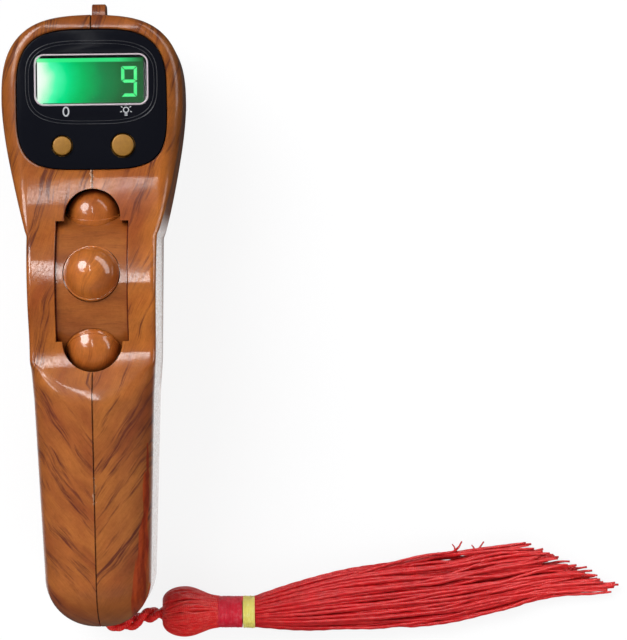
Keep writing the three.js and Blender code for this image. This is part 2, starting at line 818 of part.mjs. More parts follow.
const domeSteps = 5;
function bead(angle) {
  const base = beadFloor + seatGap;
  const profile = [
    [0, base - beadStemLength], [beadStemRadius, base - beadStemLength], [beadStemRadius, base],
    [beadCollarRadius, base], [beadCollarRadius, drumRadius + beadCollarHeight],
  ];
  const start = Math.asin(beadCollarHeight / beadRadius);
  for (let i = 0; i <= domeSteps; i += 1) {
    const rise = start + (quarterTurn - start) * i / domeSteps;
    const radius = i === domeSteps ? 0 : beadRadius * Math.cos(rise);
    profile.push([radius, drumRadius + beadRadius * Math.sin(rise)]);
  }
  const points = profile.map(([radius, height]) => new THREE.Vector2(radius, height));
  const geometry = new THREE.LatheGeometry(points, 18);
  geometry.rotateX(quarterTurn);
  return aboutAxle(geometry, angle);
}
beadAngles.forEach((angle, i) => addPiece(`bead_${i + 1}`, bead(angle), woodPrint));

addPiece('wheel_axle', barX(axleRadius, -axleLength / 2, axleLength / 2, wheelAt, 14), steel);

function washer(side) {
  const near = drumWidth / 2 + seatGap;
  const bore = axleRadius + seatGap;
  return aboutAxle(turnedX([
    [washerRadius, side * near], [washerRadius, side * (near + washerThickness)],
    [bore, side * (near + washerThickness)], [bore, side * near], [washerRadius, side * near],
  ], 16), 0);
}
addPiece('left_washer', washer(-1), milkyPlastic);
addPiece('right_washer', washer(1), milkyPlastic);

// Count contact: a springy leaf beside the drum that the nubs press against a fixed strip.
const leafX = drumWidth / 2 + nubHeight + seatGap;
const leafTopZ = boardBackZ - seatGap - leafDrop;
const leafEndY = wheelAt.y + nubCircleRadius - leafWidth / 2;
const blockX = leafX + leafThickness + seatGap;
const blockY = boardFootY + seatGap;
const blockTopZ = boardBackZ - seatGap;
addPiece('contact_leaf', block([leafX, leafEndY, leafTopZ - leafWidth],
  [leafX + leafThickness, blockY + contactBlockLength, leafTopZ]), bronze);
addPiece('contact_block', block([blockX, blockY, blockTopZ - contactBlockHeight],
  [blockX + contactBlockWidth, blockY + contactBlockLength, blockTopZ]), blackGloss);
const fixedX = blockX + contactBlockWidth / 2;
addPiece('fixed_contact', block([fixedX, leafEndY + leafWidth, leafTopZ - leafWidth],
  [fixedX + leafThickness, blockY - seatGap, leafTopZ]), bronze);

// Display end.
const keyX = { reset: -keySpacing / 2, light: keySpacing / 2 };

function fascia() {
  const body = plate(fasciaShape(0), fasciaBackZ, fasciaTopZ);
  const low = fasciaBackZ - overrun;
  const high = fasciaTopZ + overrun;
  return body.subtract(unite([
    plate(screenShape(0), low, high),
    plate(circleShape(resetKeyRadius + keyRunGap, keyX.reset, keyY), low, high),
    plate(circleShape(lightKeyRadius + keyRunGap, keyX.light, keyY), low, high),
  ]));
}
addPiece('display_bezel', fascia(), blackGloss);

const flangeTopZ = fasciaBackZ - seatGap;
const flangeBackZ = flangeTopZ - lensFlangeThickness;
function lens() {
  const flange = plate(screenShape(panelMargin), flangeBackZ, flangeTopZ);
  return flange.add(plate(screenShape(-seatGap), flangeBackZ, fasciaTopZ - lensSink));
}
addPiece('display_window', lens(), clearPlastic);

const panelTopZ = flangeBackZ - seatGap;
const panelBackZ = panelTopZ - panelThickness;
const panelHalfWidth = screenWidth / 2 + panelMargin;
const panelHalfHeight = screenHeight / 2 + panelMargin;
addPiece('lcd_panel', plate(screenShape(panelMargin), panelBackZ, panelTopZ), litGreen);

const guideTopZ = panelBackZ - seatGap;
const guideHalfWidth = panelHalfWidth - guideMargin;
const zebraY = screenY - panelHalfHeight;
addPiece('light_guide', block([-guideHalfWidth, zebraY + zebraWidth + seatGap, guideTopZ - guideThickness],
  [guideHalfWidth, screenY + panelHalfHeight - guideMargin, guideTopZ]), milkyPlastic);
addPiece('zebra_strip', block([-zebraLength / 2, zebraY, boardTopZ + seatGap],
  [zebraLength / 2, zebraY + zebraWidth, guideTopZ]), blackRubber);
const ledX = -guideHalfWidth - seatGap;
addPiece('backlight_led', block([ledX - ledLength, screenY - ledWidth / 2, boardTopZ + seatGap],
  [ledX, screenY + ledWidth / 2, boardTopZ + seatGap + ledHeight]), milkyPlastic);
addPiece('display_board', plate(roundedRectangle(boardHalfWidth, boardFootY, boardTopY, boardCorner),
  boardBackZ, boardTopZ), boardGreen);
addPiece('counter_chip', turned([
  [0, blockTopZ - chipHeight], [chipRadius / 2, blockTopZ - chipHeight],
  [chipRadius, blockTopZ - chipHeight / 3],
  [chipRadius, blockTopZ], [0, blockTopZ],
], -stripWidth / 2 - chipGap - chipRadius, keyY + chipRadius, 14), blackRubber);

// Keys, each over a switch of its own.
const switchBackZ = boardTopZ + seatGap;
const switchTopZ = switchBackZ + switchHeight;
const switchFloorZ = switchBackZ + switchHeight / 3;
const plungerBackZ = switchFloorZ + keyTravel + seatGap / 2;
const plungerTopZ = plungerBackZ + plungerLength;
function keySwitch(x) {
  const half = switchSide / 2;
  const body = block([x - half, keyY - half, switchBackZ], [x + half, keyY + half, switchTopZ]);
  const well = circleShape(plungerRadius + seatGap, x, keyY);
  return body.subtract(plate(well, switchFloorZ, switchTopZ + overrun));
}

function key(x, radius) {
  const stemBackZ = plungerTopZ + seatGap;
  const topZ = fasciaTopZ + keyProud;
  const flangeZ = flangeTopZ - keyFlangeThickness;
  const bulge = keyEdgeRound * (1 - Math.SQRT1_2);
  const profile = [
    [0, stemBackZ], [keyStemRadius, stemBackZ], [keyStemRadius, flangeZ],
    [keyFlangeRadius, flangeZ], [keyFlangeRadius, flangeTopZ], [radius, flangeTopZ],
    [radius, topZ - keyEdgeRound], [radius - bulge, topZ - bulge],
    [radius - keyEdgeRound, topZ], [0, topZ],
  ];
  return turned(profile, x, keyY, 20);
}

function plunger(x) {
  const profile = [
    [0, plungerBackZ], [plungerRadius, plungerBackZ], [plungerRadius, plungerTopZ], [0, plungerTopZ],
  ];
  return turned(profile, x, keyY, 10);
}
const keyRadii = { reset: resetKeyRadius, light: lightKeyRadius };
Object.entries(keyX).forEach(([name, x]) => {
  addPiece(`${name}_button`, key(x, keyRadii[name]), goldKey);
  addPiece(`${name}_plunger`, plunger(x), blackRubber);
  addPiece(`${name}_switch`, keySwitch(x), steel);
});

// Coin cell, its two contacts and its cap.
const cellEdge = coinThickness / 8;
addPiece('coin_cell', turned([
  [0, cellBackZ], [coinRadius - cellEdge, cellBackZ], [coinRadius, cellBackZ + cellEdge],
  [coinRadius, cellTopZ - 2 * cellEdge], [coinRadius - 2 * cellEdge, cellTopZ - 2 * cellEdge],
  [coinRadius - 2 * cellEdge, cellTopZ], [0, cellTopZ],
], capAt.x, capAt.y, 28), steel);

const footZ = boardBackZ - seatGap - stripThickness / 2;
const touchZ = cellTopZ + seatGap + stripThickness / 2;
addPiece('top_contact', bentStrip([
  [cellY - coinRadius, footZ], [cellY - coinRadius / 2, footZ],
  [cellY - coinRadius / 8, touchZ + stripThickness],
  [cellY + coinRadius / 8, touchZ], [cellY + coinRadius / 3, touchZ + stripThickness],
], stripThickness, -stripWidth / 2, stripWidth / 2), bronze);
const rimY = cellY + coinRadius + seatGap + stripThickness / 2;
addPiece('rim_contact', bentStrip([
  [rimY, cellBackZ + cellEdge], [rimY, cellTopZ], [rimY, footZ - stripThickness],
  [rimY - stripThickness, footZ], [rimY - stripWidth / 2, footZ],
], stripThickness, -stripWidth / 2, stripWidth / 2), bronze);

function cellCap() {
  const lugBackZ = capLedgeTopZ + seatGap;
  const bossTopZ = lugBackZ + capLugThickness;
  const discTopZ = headBackZ + capDiscThickness;
  const body = turned([
    [0, headBackZ], [capRadius, headBackZ], [capRadius, discTopZ], [capBossRadius, discTopZ],
    [capBossRadius, bossTopZ], [0, bossTopZ],
  ], capAt.x, capAt.y, 36);
  const reach = capBossRadius + capLugReach;
  const lugs = block([-reach, capAt.y - capLugWidth / 2, lugBackZ],
    [reach, capAt.y + capLugWidth / 2, bossTopZ]);
  const slot = block([-capSlotLength / 2, capAt.y - capSlotWidth / 2, headBackZ - overrun],
    [capSlotLength / 2, capAt.y + capSlotWidth / 2, headBackZ + capSlotDepth]);
  return body.add(lugs).subtract(slot);
}
addPiece('battery_cap', cellCap(), woodPrint);

// Case screws.
function caseScrew(at) {
  const floorX = -shellHalfWidth(at.y) + screwHeadThickness + wall / 2;
  const headTopX = floorX - seatGap - screwHeadThickness;
  const screw = barX(screwHeadRadius, headTopX, floorX - seatGap, at, 14)
    .add(barX(screwShaftRadius, floorX - wall / 2, screwBite, at, 8));
  const half = screwDriveWidth / 2;
  const drive = block([headTopX - overrun, at.y - screwHeadRadius - overrun, at.z - half],
    [headTopX + screwHeadThickness / 2, at.y + screwHeadRadius + overrun, at.z + half]);
  return screw.subtract(drive);
}
screwPlaces.forEach((at, i) => addPiece(`case_screw_${i + 1}`, caseScrew(at), steel));

// Tassel. Its cord is one length, doubled and twisted, looped round the pin in the bottom end.
addPiece('tassel_pin', barX(pinRadius, -pinHalfLength, pinHalfLength, pinAt, 12), steel);

const cordRoute = [
  [10.3, 1.1, 4.65], [9, 0.95, 4.3], [7.3, 0.4, 3.2], [5, -0.7, 2.4], [2.6, -1.7, 2.6],
  [0.9, -1.6, 3.3], [0.1, -0.2, 4.4], [0, 2.2, 5.3], [0, 4.8, 5.6], [0, 7.2, 5.6],
];
const cordLoopRadius = pinRadius + seatGap + cordRadius;
const cordSpreadShare = 0.72;
const cordSteps = 16;
const loopSteps = 5;

function strandPoint(centre, share, phase) {
  const point = centre.getPoint(share);
  const along = centre.getTangent(share);
  const side = new THREE.Vector3().crossVectors(along, new THREE.Vector3(0, 0, 1)).normalize();
  const up = new THREE.Vector3().crossVectors(side, along).normalize();
  const spread = THREE.MathUtils.smoothstep(share, cordSpreadShare, 1);
  const offset = THREE.MathUtils.lerp(cordTwistOffset, cordLoopRadius, spread);
  const angle = phase + fullTurn * cordTwists * (1 - Math.min(share / cordSpreadShare, 1));
  return point.addScaledVector(side, offset * Math.cos(angle)).addScaledVector(up, offset * Math.sin(angle));
}

function tasselCord() {
  const centre = new THREE.CatmullRomCurve3(cordRoute.map((place) => new THREE.Vector3(...place)));
  const path = [];
  for (let i = 0; i <= cordSteps; i += 1) {
    path.push(strandPoint(centre, i / cordSteps, quarterTurn));
  }
  for (let i = 1; i < loopSteps; i += 1) {
    const angle = quarterTurn - Math.PI * i / loopSteps;
    path.push(new THREE.Vector3(0, pinAt.y + cordLoopRadius * Math.cos(angle),
      pinAt.z + cordLoopRadius * Math.sin(angle)));
  }
  for (let i = cordSteps; i >= 0; i -= 1) {
    path.push(strandPoint(centre, i / cordSteps, -quarterTurn));
  }
  const shape = new THREE.Shape();
  shape.absarc(0, 0, cordRadius, 0, fullTurn);
  const section = new THREE.Shape(shape.extractPoints(cornerSteps).shape);
  const extrudePath = new THREE.CatmullRomCurve3(path);
  return toSolid(new THREE.ExtrudeGeometry(section, { steps: 2 * (cordSteps + loopSteps), extrudePath }));
}
addPiece('tassel_cord', tasselCord(), redThread);

// The tassel's own line starts at its head, runs along X and turns a little.
function onTassel(geometry) {
  geometry.rotateZ(tasselTurn);
  geometry.translate(tasselLine.x, tasselLine.y, tasselLine.z);
  return toSolid(geometry);
}

const headLengthShares = [0, 0.02, 0.12, 0.3, 0.48, 0.66, 0.84, 1];
const headRadiusShares = [0.3, 0.68, 0.92, 1, 0.99, 0.9, 0.78, 0.68];
function tasselHead() {
  const profile = headLengthShares.map((share, i) => [headRadiusShares[i] * tasselHeadRadius,
    share * tasselHeadLength]);
  return onTassel(turnedX([[0, 0], ...profile, [0, tasselHeadLength]], 18));
}
addPiece('tassel_head', tasselHead(), redThread);

function wrap(radius, fromX, toX) {
  return onTassel(turnedX([[0, fromX], [radius, fromX], [radius, toX], [0, toX]], 18));
}
const goldStart = tasselHeadLength + neckLength;
const skirtStart = goldStart + goldLength;
addPiece('tassel_neck_wrap', wrap(neckRadius, tasselHeadLength + seatGap, goldStart), crimsonThread);
addPiece('tassel_gold_wrap', wrap(goldRadius, goldStart + seatGap, skirtStart), yellowThread);

// The skirt fans out and settles on the surface. Its loose ends stand out of it at different lengths.
const skirtLengthShares = [0, 0.06, 0.15, 0.32, 0.52, 0.76, 0.92, 1];
const skirtWidthShares = [0.46, 0.58, 0.72, 0.9, 1, 1, 0.94, 0.86];
const skirtHeightShares = [1, 1.04, 1.02, 0.92, 0.8, 0.62, 0.46, 0.34];
const skirtDriftShares = [0, 0, 0.05, 0.26, 0.5, 0.86, 1, 1];
const skirtHalfWidth = 6.4;
const skirtHalfHeight = 2.9;
const skirtDrift = 4.4;
const skirtFallShare = 0.4;
const ribSteps = 4;
function skirtRow(share) {
  let i = skirtLengthShares.findIndex((value) => value >= share);
  i = Math.max(i < 0 ? skirtLengthShares.length - 1 : i, 1);
  const along = (share - skirtLengthShares[i - 1]) / (skirtLengthShares[i] - skirtLengthShares[i - 1]);
  const between = (shares) => THREE.MathUtils.lerp(shares[i - 1], shares[i], along);
  const halfHeight = skirtHalfHeight * between(skirtHeightShares);
  const fall = THREE.MathUtils.smoothstep(share, 0, skirtFallShare);
  const onFloor = halfHeight + floorClearance + skirtRibDepth - tasselLine.z;
  return {
    x: skirtStart + seatGap + share * skirtLength,
    y: skirtDrift * between(skirtDriftShares),
    z: Math.max(onFloor, onFloor * fall),
    halfWidth: skirtHalfWidth * between(skirtWidthShares),
    halfHeight,
  };
}

// Each rib ends at its own length, from the side towards the head, over the top and round.
const tipReach = 13;
const tipReachShares = [0.12, 0.34, 0.55, 0.8, 0.94, 1, 0.84, 0.92, 0.7, 0.45, 0.22];
function skirtRing({ x, y, z, halfWidth, halfHeight }, reach) {
  const count = skirtRibs * ribSteps;
  const ring = [];
  for (let i = 0; i < count; i += 1) {
    const angle = fullTurn * i / count;
    const crest = Math.cos(fullTurn * i / ribSteps);
    const tip = tipReachShares[Math.round(i / ribSteps) % tipReachShares.length] * (1 + crest) / 2;
    const rib = skirtRibDepth * crest;
    const across = (halfWidth + rib) * Math.cos(angle);
    ring.push([x + reach * tip, y + across, z + (halfHeight + rib) * Math.sin(angle)]);
  }
  return ring;
}

function tasselSkirt() {
  const rings = skirtLengthShares.map((share) => skirtRing(skirtRow(share), share === 1 ? tipReach : 0));
  return onTassel(loftGeometry(rings));
}
addPiece('tassel_skirt', tasselSkirt(), redThread);

export default counter;
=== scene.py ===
import math

import bmesh
import bpy
import numpy as np
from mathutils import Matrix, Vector
from mathutils.bvhtree import BVHTree
from mathutils.interpolate import poly_3d_calc


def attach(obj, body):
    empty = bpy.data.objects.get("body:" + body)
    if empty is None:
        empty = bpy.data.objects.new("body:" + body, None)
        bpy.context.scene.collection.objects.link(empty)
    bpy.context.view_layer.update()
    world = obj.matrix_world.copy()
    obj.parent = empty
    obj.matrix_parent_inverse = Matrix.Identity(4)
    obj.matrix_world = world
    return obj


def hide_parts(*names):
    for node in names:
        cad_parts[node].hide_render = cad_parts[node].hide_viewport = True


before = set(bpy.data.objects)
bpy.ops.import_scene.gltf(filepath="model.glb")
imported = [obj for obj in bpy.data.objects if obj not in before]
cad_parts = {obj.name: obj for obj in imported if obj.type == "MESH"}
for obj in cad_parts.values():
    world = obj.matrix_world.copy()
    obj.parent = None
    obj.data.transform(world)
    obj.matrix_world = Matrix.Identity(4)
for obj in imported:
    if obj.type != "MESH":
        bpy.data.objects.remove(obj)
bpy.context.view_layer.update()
scene = bpy.context.scene
scene.view_settings.view_transform = "Standard"

# Camera. It looks straight down on the counter from a little to its right, as one takes a small thing
# on a table top, and it is turned by less than a degree against the counter's length.
MM = 0.001
camera_place = (40.0, -1.0, 681.0)
camera_data = bpy.data.cameras.new("camera")
camera_data.sensor_fit = "HORIZONTAL"
camera_data.sensor_width = 36
camera_data.lens = 204.9
camera_data.clip_end = 5
camera = bpy.data.objects.new("camera", camera_data)
camera.location = [v * MM for v in camera_place]
camera.rotation_euler = (0, 0, math.radians(-0.68))
scene.collection.objects.link(camera)
scene.camera = camera


# Table top and studio light. A white sheet lies under the counter, a soft lamp stands at its upper left,
# a long panel at its upper right, and a narrow strip hangs over its head end.
def math_node(operation, turned=False):
    """A way to write one kind of math node as a sum of wires and numbers."""
    def write(first, second=0.0):
        values = (second, first) if turned else (first, second)
        return wire(first.tree, "ShaderNodeMath", dict(enumerate(values)), operation=operation)
    return write


class Wire:
    """A value in a node tree. A sum that is written with it becomes math nodes."""

    def __init__(self, socket):
        self.socket = socket
        self.tree = socket.id_data

    __add__ = __radd__ = math_node("ADD")
    __mul__ = __rmul__ = math_node("MULTIPLY")
    __sub__, __rsub__ = math_node("SUBTRACT"), math_node("SUBTRACT", turned=True)
    __truediv__, __rtruediv__ = math_node("DIVIDE"), math_node("DIVIDE", turned=True)
    __pow__, __abs__ = math_node("POWER"), math_node("ABSOLUTE")
    __gt__, __lt__ = math_node("GREATER_THAN"), math_node("LESS_THAN")
    least, largest = math_node("MINIMUM"), math_node("MAXIMUM")
    sine, angle_to = math_node("SINE"), math_node("ARCTAN2")

    def clamped(self):
        """The same value, held between 0 and 1."""
        self.socket.node.use_clamp = True
        return self

    def ramp(self, start, end, low=0.0, high=1.0, smooth=False):
        """Low where this value is at start, high where it is at end, and even or smooth in between."""
        return wire(self.tree, "ShaderNodeMapRange", {0: self, 1: start, 2: end, 3: low, 4: high},
                    interpolation_type="SMOOTHSTEP" if smooth else "LINEAR")

    def blend(self, first, second):
        """The first number where this value is 0, the second where it is 1."""
        return wire(self.tree, "ShaderNodeMix", {0: self, 2: first, 3: second})

    def mix(self, first, second):
        """The first colour where this value is 0, the second where it is 1."""
        return wire(self.tree, "ShaderNodeMix", {0: self, 6: first, 7: second}, 2, data_type="RGBA")


def put(tree, kind, inputs=None, **settings):
    """One node, its settings, and its inputs: a wire is linked, anything else is set."""
    made = tree.nodes.new(kind)
    for name, value in settings.items():
        setattr(made, name, value)
    for name, value in (inputs or {}).items():
        if isinstance(value, Wire):
            tree.links.new(value.socket, made.inputs[name])
        else:
            made.inputs[name].default_value = value
    return made


def wire(tree, kind, inputs=None, output=0, **settings):
    """One output of a new node."""
    return Wire(put(tree, kind, inputs, **settings).outputs[output])


def outputs(node):
    """All outputs of a node by name."""
    return {socket.name: Wire(socket) for socket in node.outputs}


def places(tree):
    """The place on the object in millimetres, and its three parts."""
    spot = {0: wire(tree, "ShaderNodeTexCoord", output="Object"), 1: (1000, 1000, 1000)}
    place = wire(tree, "ShaderNodeVectorMath", spot, operation="MULTIPLY")
    return place, *outputs(put(tree, "ShaderNodeSeparateXYZ", {0: place})).values()


def new_material(name):
    """An empty material and its tree."""
    material = bpy.data.materials.new(name)
    material.use_nodes = True
    material.node_tree.nodes.clear()
    return material, material.node_tree


def add_mesh(name, points, faces, material=None):
    """A mesh object at the origin from points in millimetres."""
    mesh = bpy.data.meshes.new(name)
    mesh.from_pydata([tuple(float(v) * MM for v in p) for p in points], [], [tuple(f) for f in faces])
    mesh.update()
    made = bpy.data.objects.new(name, mesh)
    scene.collection.objects.link(made)
    if material:
        mesh.materials.append(material)
    return made


sheet_half, sheet_z = 1500, -0.02
sheet_corners = [(sheet_half * sx, sheet_half * sy, sheet_z) for sx, sy in ((-1, -1), (1, -1), (1, 1), (-1, 1))]
table_top = add_mesh("table_top", sheet_corners, [(0, 1, 2, 3)])
# The paper's emission for reflections is painted light: the counter's gloss sees bright paper beside its wheel and its
# handle and dim paper elsewhere, with painted contact shade where the case stands beside the wheel.
paper, tree = new_material("white_paper")
seen = outputs(put(tree, "ShaderNodeLightPath"))
_, x, y, _ = places(tree)
clear_of_case = abs(x) - y.ramp(-47.5, 15.0, 9.8, 11.9)
painted_contact_shade = clear_of_case.ramp(0.3, 0.8, y.ramp(-14.0, -9.0, 1.0, 0.0), 1.0)
painted_glow_near_case = abs(x).ramp(14.0, 45.0, 1.0, 0.0) * y.ramp(-56.0, -58.5, 1.0, 0.0) * (y.ramp(14.0, 19.0, 1.0, 0.0) * painted_contact_shade)
direct = seen["Is Camera Ray"].largest(seen["Is Transmission Ray"])
shine = direct * 0.86 + (painted_glow_near_case * 0.98 + 0.02) * seen["Is Glossy Ray"]
paper_tone = (seen["Is Glossy Ray"] * (1.0 - painted_glow_near_case)).mix((0.14, 0.14, 0.142, 1), (0.05, 0.05, 0.05, 1))
put(tree, "ShaderNodeOutputMaterial", {"Surface": wire(tree, "ShaderNodeAddShader", {
    0: wire(tree, "ShaderNodeBsdfDiffuse", {"Color": paper_tone}),
    1: wire(tree, "ShaderNodeEmission", {"Color": (1, 1, 1, 1), "Strength": shine}),
})})
table_top.data.materials.append(paper)

world = bpy.data.worlds.new("studio")
world.use_nodes = True
tree = world.node_tree
tree.nodes.clear()
seen = outputs(put(tree, "ShaderNodeLightPath"))
room_light, room_gloss = 0.5, 0.13
put(tree, "ShaderNodeOutputWorld", {"Surface": wire(tree, "ShaderNodeMixShader", {
    0: seen["Is Camera Ray"],
    1: wire(tree, "ShaderNodeBackground", {
        "Color": (0.97, 0.985, 1, 1), "Strength": seen["Is Glossy Ray"].ramp(0.0, 1.0, room_light, room_gloss)}),
    2: wire(tree, "ShaderNodeBackground", {"Color": (1, 1, 1, 1), "Strength": 1.0}),
})})
scene.world = world


def add_lamp(name, toward, distance, width, height, radiance, shape, shown):
    """A soft lamp or a lit card that faces the wheel from a direction, its size in millimetres."""
    lamp = bpy.data.lights.new(name, "AREA")
    lamp.shape = shape
    lamp.size = width * MM
    lamp.size_y = height * MM
    area = width * height * MM * MM * (math.pi / 4 if shape == "ELLIPSE" else 1)
    lamp.energy = radiance * math.pi * area
    made = bpy.data.objects.new(name, lamp)
    direction = Vector(toward).normalized()
    made.location = direction * distance * MM + Vector((0, 0.005, 0.03))
    made.rotation_euler = direction.to_track_quat("Z", "Y").to_euler()
    made.visible_diffuse = shown != "gloss"
    made.visible_glossy = shown != "matte"
    scene.collection.objects.link(made)


add_lamp("key_lamp", (-0.50, 0.55, 0.80), 1000, 700, 700, 7.0, "ELLIPSE", "matte")
add_lamp("foot_fill", (0.35, -0.75, 0.60), 1200, 1200, 800, 1.3, "RECTANGLE", "matte")
add_lamp("umbrella", (-0.58, 0.60, 0.60), 900, 540, 600, 17.0, "ELLIPSE", "gloss")
add_lamp("umbrella_foot", (-0.60, 0.22, 0.77), 900, 150, 400, 8.0, "ELLIPSE", "gloss")
add_lamp("side_card", (0.80, 0.62, 0.27), 1300, 1900, 560, 5.4, "RECTANGLE", "gloss")
add_lamp("foot_card", (0.10, -0.80, 0.42), 1300, 1500, 420, 0.15, "RECTANGLE", "gloss")
add_lamp("head_strip", (-0.072, 0.41, 0.90), 900, 46, 490, 17.0, "RECTANGLE", "gloss")


# Tassel cord. One silk cord, doubled and twisted, is looped round a pin inside the bottom end. It leaves
# by the slot in the seam, lies on the table and runs through the tassel's head into the top of its skirt.
def smooth_curve(points, count):
    """Places along a smooth curve through points, evenly spread by their number."""
    points = np.array(points, float)
    padded = np.vstack([2 * points[0] - points[1], points, 2 * points[-1] - points[-2]])
    result = []
    for share in np.linspace(0, len(points) - 1, count):
        i = min(int(share), len(points) - 2)
        t = share - i
        p0, p1, p2, p3 = padded[i:i + 4]
        result.append(0.5 * (2 * p1 + (p2 - p0) * t + (2 * p0 - 5 * p1 + 4 * p2 - p3) * t * t
                             + (3 * p1 - p0 - 3 * p2 + p3) * t ** 3))
    return np.array(result)


def run_along(route):
    """How far each point of a route is from its start."""
    return np.concatenate([[0], np.cumsum(np.linalg.norm(np.diff(route, axis=0), axis=1))])


def unit(vectors):
    """Each vector at a length of 1."""
    return vectors / np.linalg.norm(vectors, axis=1)[:, None]


def add_tubes(name, routes, radii, sides, material, plies=0, ply_turn=0.0, ply_depth=0.0):
    """Round threads along routes, in one mesh. Their surface may be twisted out of plies."""
    points, faces, thread_map = [], [], []
    for route, radius in zip(routes, radii):
        route = np.array(route, float)
        radius = np.broadcast_to(np.array(radius, float), len(route))
        steps = unit(np.gradient(route, axis=0))
        side = np.cross(steps[0], (0.0, 0.0, 1.0))
        if np.linalg.norm(side) < 1e-3:
            side = np.cross(steps[0], (0.0, 1.0, 0.0))
        run = run_along(route)
        base = len(points)
        for i, step in enumerate(steps):
            side = side - step * side.dot(step)
            side /= np.linalg.norm(side)
            up = np.cross(step, side)
            for k in range(sides):
                angle = math.tau * k / sides
                swell = 1 + ply_depth * math.cos(plies * (angle - ply_turn * run[i])) if plies else 1
                points.append(route[i] + radius[i] * swell * (math.cos(angle) * side + math.sin(angle) * up))
        for i in range(len(route) - 1):
            for k in range(sides):
                a, b = base + i * sides + k, base + i * sides + (k + 1) % sides
                faces.append((a, a + sides, b + sides, b))
                thread_map += [(k / sides, run[i]), (k / sides, run[i + 1]),
                               ((k + 1) / sides, run[i + 1]), ((k + 1) / sides, run[i])]
        for i, order in ((0, 1), (len(route) - 1, -1)):
            faces.append(tuple(range(base + i * sides, base + (i + 1) * sides))[::order])
            thread_map += [(0.0, run[i])] * sides
    made = add_mesh(name, points, faces, material)
    made.data.uv_layers.new(name="thread").uv.foreach_set("vector", np.array(thread_map, "f").ravel())
    made.data.shade_smooth()
    return made


def noise(place, scale, detail, roughness=0.5):
    """Cloudy noise from 0 to 1."""
    settings = {"Vector": place, "Scale": scale, "Detail": detail, "Roughness": roughness}
    return wire(place.tree, "ShaderNodeTexNoise", settings)


def linear(red, green, blue):
    """A colour as it looks on a screen, from 0 to 255, as the renderer wants it."""
    values = [v / 255 for v in (red, green, blue)]
    return (*[v / 12.92 if v <= 0.04045 else ((v + 0.055) / 1.055) ** 2.4 for v in values], 1.0)


def surface(tree, values):
    """The surface of a material: one shader with these inputs."""
    put(tree, "ShaderNodeOutputMaterial", {"Surface": wire(tree, "ShaderNodeBsdfPrincipled", values)})


def new_group(name, kind, inputs, results):
    """An empty node group, from the names of its inputs and of its results for each kind of value."""
    group = bpy.data.node_groups.new(name, kind)
    for way, sockets in (("INPUT", inputs), ("OUTPUT", results)):
        for value_kind, names in sockets.items():
            for key in names:
                group.interface.new_socket(key, in_out=way, socket_type="NodeSocket" + value_kind)
    return group, outputs(group.nodes.new("NodeGroupInput"))


def thread_group():
    """Twisted silk from the thread's own map: painted shade in the grooves between its plies, painted glints on their
    ridges, and the height of the plies.
    """
    group, given = new_group("twisted silk", "ShaderNodeTree", {
        "Float": ("Turns per mm", "Plies", "Paler from"), "Color": ("Colour", "Dark", "Glint"),
    }, {"Color": ("Colour",), "Float": ("Height",)})
    thread_map = {0: wire(group, "ShaderNodeUVMap", uv_map="thread")}
    around, along, _ = outputs(put(group, "ShaderNodeSeparateXYZ", thread_map)).values()
    ridge = abs(((around + along * given["Turns per mm"]) * given["Plies"] * math.pi).sine())
    place = places(group)[0]
    # Painted shade: the grooves between the plies and a random darker tone take the Dark colour.
    shade = ridge * 0.6 + noise(place, 0.42, 3.0) * 0.55
    # Toward the cut end of a thread the painted shade thins and the painted glint colour grows.
    wear_and_lighter_ends = (along - given["Paler from"]).ramp(0.0, 30.0)
    depth = (1.0 - shade).clamped() * (1.0 - wear_and_lighter_ends * 0.7)
    paled = (wear_and_lighter_ends * 0.16).mix(depth.mix(given["Colour"], given["Dark"]), given["Glint"])
    # Painted glints: the glint colour on the ridges of the plies, in random patches.
    lit = ridge * noise(place, 1.3, 2.0, 0.6).ramp(0.48, 0.66)
    put(group, "NodeGroupOutput", {"Colour": (lit * 0.5).mix(paled, given["Glint"]), "Height": ridge})
    return group


silk = thread_group()


def thread_material(name, colour, dark, glint, turns, plies, sheen=0.06, paler_from=1000.0):
    """Silky thread with a soft sheen across its plies, and the painted groove shade and glints of the twisted silk."""
    material, tree = new_material(name)
    twisted = outputs(put(tree, "ShaderNodeGroup", {
        "Turns per mm": turns, "Plies": plies, "Paler from": paler_from,
        "Colour": linear(*colour), "Dark": linear(*dark), "Glint": linear(*glint)}, node_tree=silk))
    surface(tree, {
        "Base Color": twisted["Colour"], "Roughness": 0.3, "Specular IOR Level": 0.36,
        "Sheen Weight": sheen, "Sheen Roughness": 0.4, "Sheen Tint": (1.0, 0.2, 0.18, 1),
        "Normal": wire(tree, "ShaderNodeBump", {"Height": twisted["Height"], "Strength": 0.8, "Distance": 0.08 * MM}),
    })
    return material


# Each silk's second colour is painted shade between its plies, and its third a painted glint.
red_silk = thread_material("red_silk", (232, 14, 24), (112, 2, 11), (255, 84, 76), 0.9, 3.0, sheen=0.35,
                           paler_from=38.0)
cord_silk = thread_material("cord_silk", (255, 34, 36), (186, 10, 16), (255, 104, 78), 0.9, 3.0)
cord_route = [
    (0, 7.2, 5.6), (0, 4.8, 5.6), (0, 2.5, 5.3), (0.1, 0.5, 4.2), (0.9, -0.5, 3.1), (2.5, -0.95, 2.4),
    (4.3, -0.85, 2.2), (6.3, 0.1, 2.5), (8.4, 0.9, 3.6), (10.3, 1.1, 4.5), (14, 1.5, 4.7), (20, 1.5, 4.7),
    (28, 1.35, 4.5), (36, 1.5, 4.0), (44, 1.8, 3.4),
]
end_y = -57.5
cord_half_thread, cord_offset = 0.74, 0.7
inside_length, twist_length = 7.5, 7.6
centre_line = smooth_curve([(x, y + end_y, z) for x, y, z in cord_route], 260)
cord_run = run_along(centre_line)
cord_steps = unit(np.gradient(centre_line, axis=0))
cord_sides = unit(np.cross(cord_steps, (0.0, 0.0, 1.0)))
cord_ups = np.cross(cord_sides, cord_steps)
strands = []
